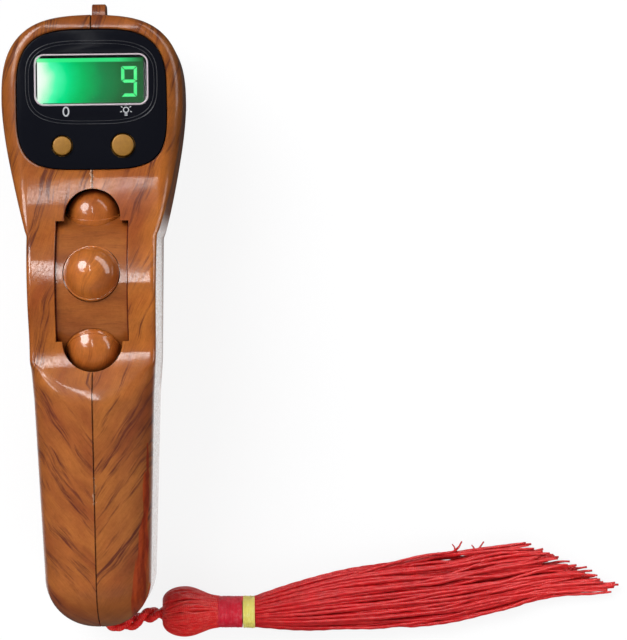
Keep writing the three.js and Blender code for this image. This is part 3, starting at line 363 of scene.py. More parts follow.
for half_turn in (0, math.pi):
    angles = (half_turn + math.pi / 2 + math.tau * np.maximum(cord_run - inside_length, 0) / twist_length)[:, None]
    strands.append(centre_line + cord_offset * (np.cos(angles) * cord_sides + np.sin(angles) * cord_ups))
cord_piece = add_tubes("cord", strands, [cord_half_thread] * 2, 18, cord_silk, plies=3, ply_turn=1.3, ply_depth=0.1)
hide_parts("tassel_cord")
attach(cord_piece, "case")

# Tassel head. The bundle of silk is folded over the cord and tied below, so its threads come out of a
# dimple round the cord, turn over a round ridge and run back to the neck.
tassel_start = np.array((11.0, 1.65 + end_y, 4.7))
tassel_turn = math.radians(-1)
fold_profile = [(1.7, 0.6), (0.8, 1.1), (0.2, 1.9), (0.45, 2.85), (1.2, 3.65), (2.5, 4.2), (4.1, 4.42), (5.6, 4.2),
                (7.2, 3.62), (8.8, 3.0), (10.4, 2.7)]


def on_tassel(along, reach, angles, lowest=-math.inf):
    """Places from how far they are along the tassel, and how far and which way they are from its line."""
    c, s = math.cos(tassel_turn), math.sin(tassel_turn)
    across, height = reach * np.cos(angles), np.maximum(reach * np.sin(angles), lowest)
    return np.stack([along * c - across * s, along * s + across * c, height], 1) + tassel_start


random = np.random.default_rng(7)
fold_threads, fold_radii = [], []
fold_along, fold_reach, _ = smooth_curve([(x, r, 0) for x, r in fold_profile], 34).T
shares = np.linspace(0, 1, len(fold_along))
for layer, count in ((0.0, 92), (-0.25, 76), (-0.55, 40)):
    for i in range(count):
        bearing = math.tau * (i + 0.7 * random.random()) / count
        lean = random.normal(0.4, 0.55) * (1 - shares) ** 1.5
        reach = fold_reach + 0.22 * random.random() - 0.08 + layer * np.minimum(1, 3 * shares)
        angles = bearing + lean + 0.04 * np.sin(6 * shares + 6 * random.random())
        shove = -0.3 * random.random() * (1 - shares)
        fold_threads.append(on_tassel(fold_along - 0.5 * layer + shove, reach, angles))
        fold_radii.append(0.25)
loose_random = np.random.default_rng(3)
loose_count, table_below_line = 34, -4.35
for i in range(loose_count):
    bearing = math.tau * (i + 0.6 * loose_random.random()) / loose_count
    lean = loose_random.normal(0.55, 0.5) * (1 - shares) ** 1.3
    angles = bearing + lean + 0.07 * np.sin(7 * shares + 6 * loose_random.random())
    reach = fold_reach + 0.14 * np.sin(math.pi * shares)
    fold_threads.append(on_tassel(fold_along - 0.05, reach, angles, lowest=table_below_line))
    fold_radii.append(0.27)
# The head's threads use a lighter copy of the skirt's red silk: painted light against the shade that the folded threads
# cast on each other.
lighter_head_silk = thread_material("lighter_head_silk", (255, 44, 42), (196, 10, 18), (255, 112, 92), 1.4, 2.0, sheen=0.3)
head_piece = add_tubes("head_threads", fold_threads, fold_radii, 8, lighter_head_silk)
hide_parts("tassel_head")
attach(head_piece, "case")


# Neck bands. Fine crimson thread is wound tight round the neck, and a thicker yellow one below it.
def winding(start, end, radius, thread, seed):
    """A close helix of thread round the tassel's neck."""
    turns = (end - start) / (2 * thread)
    angles = np.linspace(0, turns * math.tau, int(turns * 40))
    knots = int(turns * 3)
    wobble = np.interp(angles, np.linspace(0, angles[-1], knots), np.random.default_rng(seed).normal(0, 0.03, knots))
    return on_tassel(start + (end - start) * angles / angles[-1], radius + wobble, angles)


crimson_silk = thread_material("crimson_silk", (255, 32, 62), (184, 8, 38), (255, 120, 134), 2.4, 2.0)
yellow_silk = thread_material("yellow_silk", (255, 250, 136), (255, 220, 88), (255, 255, 190), 2.0, 2.0)
neck_piece = add_tubes("crimson_band", [winding(9.6, 14.95, 2.86, 0.14, 3)], [0.155], 8, crimson_silk)
gold_piece = add_tubes("yellow_band", [winding(15.1, 17.2, 2.9, 0.16, 4)], [0.175], 8, yellow_silk)
for piece, node_name, slot_name in ((neck_piece, "tassel_neck_wrap", "crimson_thread"),
                                    (gold_piece, "tassel_gold_wrap", "yellow_thread")):
    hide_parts(node_name)
    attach(piece, "case")

# Skirt. Well over a hundred silk threads fan out of the neck, settle on the table and end where they were
# cut, the upper ones first. A few stray from the bundle.
skirt_x = [27.6, 36.7, 46.4, 55.8, 65.4, 75.0, 84.2, 93.9, 99.0]
skirt_low = [-1.2, -2.0, -2.1, -1.8, -0.9, 1.2, 3.1, 4.0, 4.4]
skirt_high = [3.9, 6.9, 9.4, 10.8, 11.8, 13.0, 13.9, 14.3, 14.5]
skirt_half_height = [2.5, 2.6, 2.5, 2.2, 1.9, 1.6, 1.3, 1.0, 0.8]
skirt_middle = [4.7, 4.5, 3.5, 2.9, 2.5, 2.2, 1.9, 1.5, 1.3]
skirt_threads, skirt_radii = [], []
thread_count, thread_steps = 128, 84
golden_angle = 2.39996
edge_x, edge_low, edge_high = smooth_curve(np.stack([skirt_x, skirt_low, skirt_high], 1), 120).T
for i in range(thread_count):
    share = math.sqrt((i + 0.5) / thread_count)
    a, b = share * math.cos(i * golden_angle), share * math.sin(i * golden_angle)
    end_x = 98.6 - 9.2 * (a + 1) - 7 * random.random() ** 2
    x = np.linspace(27.0 + 0.5 * random.random(), end_x, 60)
    spread = np.clip((x - 30) / 40, 0, 1)
    knots = np.linspace(27, 99, 7)
    side = np.clip(a + np.interp(x, knots, random.normal(0, 0.11, 7)) * spread, -1.02, 1.02)
    low, high = np.interp(x, edge_x, edge_low), np.interp(x, edge_x, edge_high)
    y = (low + high) / 2 + side * (high - low) / 2
    flatten = np.sqrt(np.maximum(1 - 0.85 * np.minimum(side ** 2, 1), 0.1))
    lift = b * np.interp(x, skirt_x, skirt_half_height) * (0.55 + 0.45 * flatten)
    z = np.interp(x, skirt_x, skirt_middle) + lift + np.interp(x, knots, random.normal(0, 0.2, 7)) * spread
    skirt_threads.append(smooth_curve(np.stack([x, y + end_y, np.maximum(z, 0.42)], 1), thread_steps))
    skirt_radii.append(np.interp(np.linspace(0, 1, thread_steps), [0, 0.5, 0.92, 1], [0.36, 0.37, 0.31, 0.2]))
stray = (
    (0.3, [(48, 8.4, 4.8), (52, 9.6, 4.5), (59.8, 11.5, 4.2), (65.4, 12.1, 3.4), (66.9, 12.8, 2.6),
           (67.7, 14.0, 1.9)]),
    (0.26, [(63, 11.9, 3.6), (67.5, 11.7, 3.0), (69.7, 11.5, 2.6), (70.9, 12.6, 2.0), (71.9, 13.9, 1.6)]),
    (0.2, [(68.6, 11.6, 2.7), (69.6, 12.0, 2.5), (70.0, 12.7, 2.0), (69.6, 13.3, 1.6)]),
    (0.2, [(65.0, 12.1, 3.3), (66.2, 12.2, 2.9), (66.3, 12.9, 2.2), (65.9, 13.5, 1.8)]),
    (0.3, [(70, 11.6, 2.8), (75.5, 12.6, 2.2), (79.5, 13.2, 1.6)]),
)
for size, stem in stray:
    skirt_threads.append(smooth_curve([(x, y + end_y, z) for x, y, z in stem], 40))
    skirt_radii.append(np.linspace(size, 0.6 * size, 40))
skirt_piece = add_tubes("skirt_threads", skirt_threads, skirt_radii, 7, red_silk, plies=2, ply_turn=1.1, ply_depth=0.12)
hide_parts("tassel_skirt")
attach(skirt_piece, "case")

# Case. Two moulded half shells of plastic meet in a seam down the middle. They carry a wood-grain film
# under clear lacquer, and are open for the wheel, the fascia, the battery cap and the tassel's cord.
wheel_y, wheel_z, bead_circle = 62.5, 22.5, 14.9
housing_radius, saddle_radius = 16.0, 18.0
head_face_z, head_back_z, body_middle_z = 31.0, 9, 16.6
body_length, foot_length, crown_round = 112.8, 10, 2.6
foot_half, neck_half, head_half, head_flare = 9.75, 12.2, 16.6, 4.4
neck_y, flare_length, head_widest_y = 73.2, 23.8, 97.0
valley_y, valley_z, valley_radius = 52.0, 36.3, 10.0
shelf_slope = math.radians(23)
shelf_y, housing_foot_y = 42.6, 49.8
foot_crest_z, shelf_crest_z = 33.2, 39.43
neck_back_y, head_back_y = 72, 87


def step_between(low, high, value):
    """0 up to the low value and 1 from the high one on, with a smooth step in between."""
    share = np.clip((value - low) / (high - low), 0, 1)
    return share * share * (3 - 2 * share)


def half_width(y):
    """Half the width of the body in plan."""
    crown = np.clip((y - head_widest_y) / (body_length - head_widest_y), 0, 1)
    flare = neck_half + head_flare * (1 - np.clip(1 - (y - neck_y) / flare_length, 0, 1) ** 1.6)
    head = np.where(y > head_widest_y, head_half * (1 - crown ** 2.8) ** (1 / 2.8), flare)
    housing = np.interp(y, [housing_foot_y, neck_y], [11.4, 11.85])
    notch = np.clip((neck_y - y) / 0.9, 0, 1)
    upper = np.where(y >= neck_y, head, neck_half + (housing - neck_half) * notch)
    column = np.interp(y, [foot_length, shelf_y, housing_foot_y], [foot_half, 10.9, 11.4])
    return np.where(y < housing_foot_y, column, upper)


def upper_line(y):
    """Height of the front down the middle: head, saddle, wheel housing, valley and shelf."""
    housing = wheel_z + np.sqrt(np.maximum(housing_radius ** 2 - (y - wheel_y) ** 2, 0))
    both_radii, saddle_top = housing_radius + saddle_radius, head_face_z + saddle_radius
    saddle_reach = math.sqrt(both_radii ** 2 - (saddle_top - wheel_z) ** 2)
    short_of_head = np.minimum(y - (wheel_y + saddle_reach), 0)
    saddle = saddle_top - np.sqrt(np.maximum(saddle_radius ** 2 - short_of_head ** 2, 0))
    turn_y = valley_y + valley_radius * (wheel_y - valley_y) / (housing_radius + valley_radius)
    foot_y = valley_y - valley_radius * math.sin(shelf_slope)
    valley = valley_z + valley_radius - np.sqrt(np.maximum(valley_radius ** 2 - (y - valley_y) ** 2, 0))
    slope = valley_z + valley_radius * (1 - math.cos(shelf_slope)) + (foot_y - y) * math.tan(shelf_slope)
    result = np.where(y > wheel_y + saddle_reach * housing_radius / both_radii, saddle, housing)
    result = np.where(y < turn_y, valley, result)
    return np.where(y < foot_y, slope, result)


def smooth_lower(a, b, blend):
    """The lower of two heights, rounded over where they cross."""
    near = np.maximum(blend - np.abs(a - b), 0) / blend
    return np.minimum(a, b) - near * near * blend / 4


def body_rings(inset, rows, across):
    """Rings of points round the body, one for each place along it."""
    grow = np.sqrt(np.maximum(1 - np.clip(1 - (rows - inset) / (foot_length - inset), 0, 1) ** 2, 1e-5))
    wide = np.maximum((np.where(rows < foot_length, foot_half, half_width(rows)) - inset) * grow, 0.02)
    reach = np.maximum(crown_round - (body_length - inset - rows), 0)
    dip = crown_round - np.sqrt(np.maximum(crown_round ** 2 - reach ** 2, 0))
    edge = np.minimum(np.maximum(0.9 + 1.9 * step_between(72.3, 86, rows) - inset, 0.7), wide)
    front_share = np.sin(np.linspace(1, -1, across) * math.pi / 2)
    cap = (7.0 - 0.5 * inset) * (1 - (1 - np.abs(front_share) ** 2.2) ** (1 / 2.2))
    turn = np.linspace(0, math.pi / 2, 10)[1:]
    rings = []
    for y, half, g, d, r in zip(rows, wide, grow, dip, edge):
        x = half * front_share
        corner = np.clip((np.abs(x) - (half - r)) / r, 0, 1)
        upper = upper_line(np.array(y)) - r * (1 - np.sqrt(1 - corner ** 2))
        along = max(y, foot_length) - foot_length
        crest = foot_crest_z + along * (shelf_crest_z - foot_crest_z) / (shelf_y - foot_length)
        column = crest - cap + 9 * step_between(47.5, 53.5, y)
        front = (smooth_lower(upper, column, 1.2) if y > 34 else column) - inset - d
        front = body_middle_z + (front - body_middle_z) * g
        back_share = step_between(neck_back_y, head_back_y, y)
        low = body_middle_z - (body_middle_z - (head_back_z * back_share + inset + d)) * g
        back_round = min(6 - 3.2 * back_share, half) * g
        rise = max(5 - 2.2 * back_share - inset, 0.8) * g
        flat = half - back_round
        left_side = np.linspace(front[-1], low + rise, 14)[1:]
        back_left = [(-(flat + back_round * math.cos(t)), low + rise - rise * math.sin(t)) for t in turn]
        floor = [(v, low) for v in np.linspace(-flat, flat, 6)[1:-1]]
        back_right = [(-a, b) for a, b in back_left[::-1]] + [(half, low + rise)]
        ring = [*zip(x, front), *[(-half, b) for b in left_side], *back_left, *floor, *back_right]
        rings.append([(a, y, b) for a, b in ring + [(half, b) for b in left_side[-2::-1]]])
    return rings


def solid(name, points, faces, foot_y=end_y):
    """A closed mesh from points that are measured from the foot of the body, its faces turned outward."""
    made = add_mesh(name, [(x, y + foot_y, z) for x, y, z in points], faces)
    mesh = bmesh.new()
    mesh.from_mesh(made.data)
    bmesh.ops.remove_doubles(mesh, verts=mesh.verts, dist=1e-7)
    bmesh.ops.recalc_face_normals(mesh, faces=mesh.faces)
    mesh.to_mesh(made.data)
    mesh.free()
    return made


def skin(name, rings, closed=False, foot_y=end_y):
    """A solid over rings of points. Its first and last ring are capped, or joined if it is closed."""
    rounds, count = len(rings), len(rings[0])
    following = [*range(1, rounds), 0] if closed else range(1, rounds)
    faces = [(i * count + k, i * count + (k + 1) % count, j * count + (k + 1) % count, j * count + k)
             for i, j in zip(range(rounds), following) for k in range(count)]
    if not closed:
        faces += [tuple(range(count))[::-1], tuple(range((rounds - 1) * count, rounds * count))]
    return solid(name, [p for ring in rings for p in ring], faces, foot_y)


def oval(half_x, half_y, x, y, count, power=2.0, lower_power=None):
    """A closed outline in plan: an ellipse, or one with fuller corners for a higher power."""
    points = []
    for i in range(count):
        c, s = math.cos(math.tau * i / count), math.sin(math.tau * i / count)
        share = 2 / (lower_power if lower_power and s < 0 else power)
        points.append((x + math.copysign(abs(c) ** share, c) * half_x,
                       y + math.copysign(abs(s) ** share, s) * half_y))
    return points


def circle(radius, x, y, count=64):
    """A round outline."""
    return oval(radius, radius, x, y, count)


def fascia_outline(margin):
    """The outline of the fascia, widened by a margin."""
    return oval(13.65 + margin, 12.75 + margin, 0.0, 97.2, 120, 3.3, 4.0)


def rounded_rectangle(half_x, half_y, corner, middle_y):
    """A rectangle with round corners, in the middle of the body."""
    points = []
    for sx, sy, start in ((1, -1, -90), (1, 1, 0), (-1, 1, 90), (-1, -1, 180)):
        x, y = sx * (half_x - corner), middle_y + sy * (half_y - corner)
        points += [(x + corner * math.cos(t), y + corner * math.sin(t))
                   for t in np.radians(np.linspace(start, start + 90, 11))]
    return points


def at_levels(name, levels):
    """An upright piece from an outline in plan for each of its levels."""
    return skin(name, [[(x, y, z) for x, y in outline] for z, outline in levels])


def prism(name, outline, low, high):
    """An upright block of one outline."""
    return at_levels(name, [(low, outline), (high, outline)])


def bar_x(name, radius, start, end, y, z, sides=48):
    """A round bar across the body."""
    return skin(name, [[(x, *p) for p in circle(radius, y, z, sides)] for x in (start, end)])


def box_piece(name, low, high):
    """A block between two corners."""
    (x0, y0, z0), (x1, y1, z1) = low, high
    return prism(name, [(x0, y0), (x1, y0), (x1, y1), (x0, y1)], z0, z1)


def combine(target, *tools, operation="DIFFERENCE"):
    """The target with each tool cut from it, or added to it. The tools are used up."""
    for tool in tools:
        modifier = target.modifiers.new("cut", "BOOLEAN")
        modifier.operation = operation
        modifier.solver = "MANIFOLD"
        modifier.object = tool
    bpy.context.view_layer.update()
    evaluated = target.evaluated_get(bpy.context.evaluated_depsgraph_get())
    mesh = bpy.data.meshes.new_from_object(evaluated)
    target.modifiers.clear()
    old = target.data
    target.data = mesh
    bpy.data.meshes.remove(old)
    for tool in tools:
        bpy.data.objects.remove(tool)
    return target


def window_block():
    """What the wheel's window takes out of the front, with a small round along its two sides."""
    rings = []
    for y in np.linspace(53.1, 75.0, 60):
        top = float(upper_line(np.array(y)))
        side = [(6.6, 20.0), (6.6, top - 0.1), (6.62, top - 0.05), (6.66, top - 0.01), (6.72, top + 0.01), (6.73, 60.0)]
        rings.append([(x, y, z) for x, z in side] + [(-x, y, z) for x, z in side[::-1]])
    return skin("window", rings)


def turned(name, section, steps):
    """A ring about the axle, from pairs of its place across and its radius."""
    return skin(name, [[(x, wheel_y + r * math.cos(t), wheel_z + r * math.sin(t)) for x, r in section]
                       for t in np.linspace(0, math.tau, steps, endpoint=False)], closed=True)


foot_rows = foot_length * (1 - np.cos(np.linspace(0.02, math.pi / 2, 26)))
crown_rows = head_widest_y + (body_length - head_widest_y) * (1 - (1 - np.linspace(0, 1, 44)) ** 2.2)
crown_rows[-1] = body_length - 0.002
body_rows = np.concatenate([foot_rows[:-1], np.linspace(foot_length, 38, 34)[:-1],
                            np.linspace(38, head_widest_y, 150)[:-1], crown_rows])
body = skin("body", body_rings(0.0, body_rows, 90))
body.data.shade_smooth()
skin_normals = [n.vector.copy() for n in body.data.vertex_normals]
skin_faces = [tuple(p.vertices) for p in body.data.polygons]
skin_points = [v.co.copy() for v in body.data.vertices]
skin_tree = BVHTree.FromPolygons(skin_points, skin_faces)

groove = combine(box_piece("slab", (-0.12, -5, -5), (0.12, 120, 60)),
                 skin("inner", body_rings(0.8, body_rows[2:-2], 40)))
cap_y, cap_hole_radius, screen_outline = 97.5, 8.4, fascia_outline(-1.5)
ledge = combine(prism("ledge", fascia_outline(1.2), 27.5, 29.1), prism("core", screen_outline, 20, 35))
cap_ledge = combine(prism("cap_ledge", circle(12, 0, cap_y), 9.02, 12.0),
                    prism("core", circle(cap_hole_radius, 0, cap_y), 5, 20))
hollow = combine(skin("hollow", body_rings(2.0, np.linspace(2.2, 110.6, 120), 40)), ledge, cap_ledge)
hollow = combine(hollow, *[bar_x("boss", 3.4, a, b, wheel_y, wheel_z) for a, b in ((-11.8, -7.6), (7.6, 11.8))])
tight, loose = fascia_outline(0.16), fascia_outline(0.4)
screw_wells = []
for y, z in ((108.7, 19.0), (84.9, 14.6), (37.0, 19.0), (15.0, 17.0)):
    left_x = -float(half_width(np.array(y)))
    screw_wells.append(bar_x("well", 1.9, left_x - 3, left_x + 2.2, y, z))
case = combine(
    body, hollow,
    at_levels("recess", [(29.1, tight), (30.75, tight), (31.0, loose), (45, loose)]),
    prism("opening", screen_outline, 26, 45),
    prism("cap_recess", circle(10.5, 0, cap_y), -5, 10.5),
    prism("cap_hole", circle(cap_hole_radius, 0, cap_y), -5, 16),
    window_block(),
    bar_x("drum_bore", 15.2, -6.6, 6.6, wheel_y, wheel_z, 160),
    turned("bead_slot", circle(5.1, 0, bead_circle, 72), 180),
    prism("lower_slot", circle(5.45, 0, 53.05, 96), 31.5, 60),
    prism("upper_slot", circle(5.12, 0, 75.8, 96), 28.0, 60),
    box_piece("cord_slot", (-1.7, -3, 2.6), (1.7, 12.6, 8.9)),
    bar_x("axle_bore", 1.8, -9.8, 9.8, wheel_y, wheel_z),
    groove, *screw_wells,
)


def lug_piece():
    """The lanyard eye, a rounded tab on the crown of the right shell."""
    eye_y, eye_z, tab_round, bevel = 113.2, 23.0, 1.8, 0.12
    tab = [(110.0, 19.5)]
    for z, start in ((eye_z - 1.7, -90), (eye_z + 1.7, 0)):
        tab += [(eye_y + tab_round * math.cos(t), z + tab_round * math.sin(t))
                for t in np.radians(np.linspace(start, start + 90, 13))]
    tab.append((110.0, 26.5))
    rings = []
    for x, inset in ((0.0, bevel), (bevel, 0.0), (2.5 - bevel, 0.0), (2.5, bevel)):
        rings.append([(x, y - (inset if y > 111 else 0), z + (inset if z < eye_z else -inset)) for y, z in tab])
    return combine(skin("lug", rings), bar_x("eye", 0.8, -1, 4, eye_y, eye_z, 32))


def cut_half(name, low, high):
    """One side of the case, with its own copy of the mesh."""
    half = bpy.data.objects.new(name, case.data.copy())
    scene.collection.objects.link(half)
    return combine(half, box_piece("keep", (low, -10, -10), (high, 130, 60)), operation="INTERSECT")


def dress(piece, material, crisp_from=None):
    """One material on a whole piece, and smooth shading that breaks at edges of so many degrees."""
    piece.data.materials.clear()
    piece.data.materials.append(material)
    if crisp_from:
        piece.data.shade_smooth()
        piece.data.set_sharp_from_angle(angle=math.radians(crisp_from))


def skin_shading(piece):
    """Takes the shading from the uncut skin wherever a face lies on it."""
    mesh = piece.data
    normals = [tuple(n.vector) for n in mesh.corner_normals]
    found = {}
    for vertex in mesh.vertices:
        place, _, index, distance = skin_tree.find_nearest(vertex.co)
        if index is None or distance >= 2e-6 or len(skin_faces[index]) > 4:
            continue
        shares = poly_3d_calc([skin_points[i] for i in skin_faces[index]], place)
        mixed = sum((skin_normals[i] * share for i, share in zip(skin_faces[index], shares)), Vector())
        found[vertex.index] = mixed.normalized()
    for polygon in mesh.polygons:
        if all(i in found and found[i].dot(polygon.normal) > 0.8 for i in polygon.vertices):
            for loop, i in zip(polygon.loop_indices, polygon.vertices):
                normals[loop] = tuple(found[i])
    mesh.normals_split_custom_set(normals)


left_case = cut_half("left_case", -30, 0)
right_case = combine(cut_half("right_case", 0, 30), lug_piece(), operation="UNION")
bpy.data.objects.remove(case)


def scaled(vector, amount):
    """A place or a colour, each of its three parts times its own amount."""
    return wire(vector.tree, "ShaderNodeVectorMath", {0: vector, 1: amount}, operation="MULTIPLY")


def wood_group():
    """Printed wood grain in millimetres: long dark streaks that run down to the seam, and fine lines, with painted
    light and shade over it: a painted reflection of the tassel, and painted shade on the sides and at the drum's edges.
    """
    group, given = new_group("printed wood grain", "ShaderNodeTree", {
        "Float": ("Streaks", "Shift", "Column marks", "Round the axle", "Gap shade beyond"),
        "Color": ("Warm", "Deep", "Streak"),
    }, {"Color": ("Colour",), "Float": ("Height",)})
    marked = given["Column marks"]
    place, x, y, z = places(group)
    bend = noise(place, 0.07, 2.0) - 0.5
    spread = marked.blend(x, abs(x)) + (30.0 - z).largest(0.0) * 0.55
    right = x > 0.0
    side = right * 23.7 * marked
    above_slant = right.largest(1.0 - marked) * 0.75 - 0.3
    chevron = spread - ((y + 12.0).least(0.0) * 0.74 + (y + 12.0).largest(0.0) * above_slant)
    straight = chevron + bend * 6.0 + (side + given["Shift"])
    around = (y - (wheel_y + end_y)).angle_to(z - wheel_z) * bead_circle + bend * 3.0
    across = given["Round the axle"].blend(straight, around)
    along = given["Round the axle"].blend(y + spread * 0.5, x)

    def grain(across_scale, along_scale, detail, roughness, offset):
        """Noise that is drawn out along the grain."""
        spot = {0: across * across_scale, 1: along * along_scale, 2: side * 0.31 + offset}
        return noise(wire(group, "ShaderNodeCombineXYZ", spot), 1.0, detail, roughness)

    def soft_band(value, centre, half, core=0.15):
        """1 where a value is near the centre, and soft toward both edges."""
        return (abs(value - centre) / half).ramp(1.0, core, smooth=True)

    patches = grain(0.16, 0.05, 3.0, 0.55, 1.0)
    bands = grain(0.5, 0.06, 3.0, 0.6, 5.0)
    hatch = grain(2.3, 0.12, 3.0, 0.6, 7.0)
    fibres = grain(4.5, 0.2, 4.0, 0.7, 9.0)
    lines = grain(7.5, 0.35, 3.0, 0.65, 13.0)
    cloud, specks = noise(place, 0.3, 4.0, 0.6), noise(place, 2.2, 3.0, 0.7)

    # The dark streaks, seven of them where the photo has them on the handle.
    drawn, left, marks = chevron + bend * 3.0, 1.0 - right, 0.0
    for sided, centre, half, weight in ((left, 19.2, 1.2, 0.2), (left, 12.1, 1.7, 0.12), (left, 26.8, 2.0, 0.09),
                                        (right, 27.2, 1.6, 0.17), (right, 11.9, 1.8, 0.1), (right, 15.6, 1.4, 0.1),
                                        (right, 21.0, 1.2, 0.06)):
        marks += soft_band(drawn, centre, half) * sided * weight
    dense = bands * 0.8 + fibres * 0.2 + marks * marked + y.ramp(18.0, 28.0, 0.0, 0.045)
    thread = (hatch * 0.7 + fibres * 0.3).ramp(0.44, 0.58, 0.12, 1.0, smooth=True)
    amount = (dense.ramp(0.51, 0.66, smooth=True) * thread * given["Streaks"]).clamped()
    colour = amount.mix(patches.ramp(0.35, 0.68).mix(given["Warm"], given["Deep"]), given["Streak"])

    # A painted reflection of the red tassel down the right edge of the handle.
    down = y.ramp(-22.9, -52.0)
    reflection_wobble = noise(scaled(place, (1.1, 0.16, 0.0)), 1.0, 3.0)
    painted_tassel_reflection = soft_band(x + (reflection_wobble - 0.5) * 1.6, 9.5 - down ** 1.8 * 2.2, down ** 1.3 * 1.25 + 0.22, 0.7)
    painted_tassel_reflection = painted_tassel_reflection * (down > 0.0) * marked * 0.92 * z.ramp(17.0, 26.0)
    colour = painted_tassel_reflection.mix(colour, reflection_wobble.ramp(0.42, 0.58).mix(linear(134, 40, 12), linear(174, 64, 20)))

    # Fine grain, and a darker tone toward the head. Painted light and shade on the sides: the right side is darker
    # along the handle and brighter beside the wheel, the left a little darker there, and the right rim of the head is
    # darker still.
    fine = (lines * 0.45 + cloud * 0.3 + specks * 0.25).ramp(0.38, 0.62, -0.22, 0.22)
    painted_side_light = right.blend(y.ramp(-20.0, -6.0, 1.0, 0.97), y.ramp(-20.0, -6.0, 0.92, 1.06))
    tone_and_painted_side_shade = painted_side_light * y.ramp(26.0, 32.0, 1.0, 0.82) * x.ramp(12.0, 15.5, 1.0, 0.72)
    tint = y.ramp(-16.0, -8.0, 0.0, marked).mix((1, 1, 1, 1), (1.03, 1.0, 0.72, 1))
    value = (fine + 1.0) * marked.blend(1.0, tone_and_painted_side_shade)
    colour = wire(group, "ShaderNodeVectorMath", {0: scaled(colour, tint), "Scale": value}, operation="SCALE")

    # The film is chipped along the seam on the saddle and on the grip. The edges of the drum get painted shade, for the
    # shadow in the gap beside the window.
    near_seam = abs(x) < (specks - 0.47) * 2.6
    wear_and_lighter_ends = ((y > 22.4) * (y < 27.0) + (y > -34.0) * (y < -29.0) * 0.5) * (z > 25.0)
    colour = (near_seam * wear_and_lighter_ends * marked).clamped().mix(colour, linear(206, 176, 150))
    colour = ((abs(x) > given["Gap shade beyond"]) * 0.8).mix(colour, linear(92, 24, 14))
    put(group, "NodeGroupOutput", {"Colour": colour, "Height": lines * 0.5 + specks * 0.8})
    return group


wood_grain = wood_group()


def wood_material(name, streaks, warm, deep, streak, shift=0.0, marks=0.0, coat=0.09, bump=0.05, axle=0.0, edge=99.0,
                  mottle=0.28):
    """Wood-grain film under clear lacquer."""
    material, tree = new_material(name)
    grain = outputs(put(tree, "ShaderNodeGroup", {
        "Streaks": streaks, "Shift": shift, "Column marks": marks, "Round the axle": axle, "Gap shade beyond": edge,
        "Warm": linear(*warm), "Deep": linear(*deep), "Streak": linear(*streak)}, node_tree=wood_grain))
    thinner_upward = places(tree)[2].ramp(10.0, 25.0, 1.1, 0.56)
    surface(tree, {
        "Base Color": grain["Colour"], "Roughness": 0.34, "Specular IOR Level": 0.12,
        "Normal": wire(tree, "ShaderNodeBump", {"Height": grain["Height"], "Strength": 0.4, "Distance": bump * MM}),
        "Coat Weight": (thinner_upward * grain["Height"].ramp(0.54, 0.78, mottle, 1.0)).clamped(),
        "Coat Roughness": coat, "Coat IOR": 1.45,
    })
    return material


case_wood = wood_material("wood_print", 0.9, (171, 100, 45), (139, 69, 34), (90, 40, 30), marks=1.0)
for piece, node_name in ((left_case, "left_shell"), (right_case, "right_shell")):
    dress(piece, case_wood, 35)
    skin_shading(piece)
    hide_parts(node_name)
    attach(piece, "case")

# Thumb wheel. A moulded drum turns on a steel axle. Six polished beads are pressed into round seats in
# its rim, each with a narrow collar that stands a little proud.
# The drum's film gets painted shade beyond 6.3 mm from its middle, for the shadow in the gap beside it.
drum_wood = wood_material("wood_print_drum", 0.35, (160, 92, 40), (134, 68, 28), (104, 46, 26), shift=41.0,
                          axle=1.0, edge=6.3)
right_half = [(6.3, bead_circle), (6.44, bead_circle), (6.49, 14.87), (6.5, 14.8), (6.5, 11.7), (1.2, 11.7),
              (1.2, 3.4), (6.5, 3.4), (6.5, 1.8)]
drum = turned("drum", [(0.0, bead_circle), *right_half, *[(-x, r) for x, r in right_half[::-1]]], 240)
bead_count, first_bead_angle = 6, math.radians(11.4)


def seat(angle):
    """A round bar that stands out from the axle at an angle from straight up."""
    s, c = math.sin(angle), math.cos(angle)
    section = circle(5.2, 0, 0, 72)
    return skin("seat", [[(u, wheel_y + level * s + v * c, wheel_z + level * c - v * s) for u, v in section]
                         for level in (13.3, 16.5)])


combine(drum, *[seat(first_bead_angle + math.tau * i / bead_count) for i in range(bead_count)])
dress(drum, drum_wood, 30)
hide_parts("bead_wheel")
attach(drum, "wheel")

dome_radius, dome_z, dome_start, dome_steps = 4.85, 14.35, 0.14, 24
bead_profile = [(1.6, 12.4), (1.6, 13.6), (5.05, 13.6), (5.05, 14.9), (5.03, 14.95), (4.98, 14.98), (4.86, 14.98)]
bead_profile += [(dome_radius * math.cos(t), dome_z + dome_radius * math.sin(t))
                 for t in np.linspace(dome_start, math.pi / 2, dome_steps + 1)[1:]]
bead_wood = wood_material("wood_print_bead", 0.4, (186, 106, 42), (150, 74, 30), (96, 38, 18), shift=17.0, coat=0.03,
                          bump=0.03, mottle=0.7)
one_bead = skin("one_bead", [[(x, y, z) for x, y in circle(r, 0, 0, 72)] for r, z in bead_profile], foot_y=0)
dress(one_bead, bead_wood, 50)


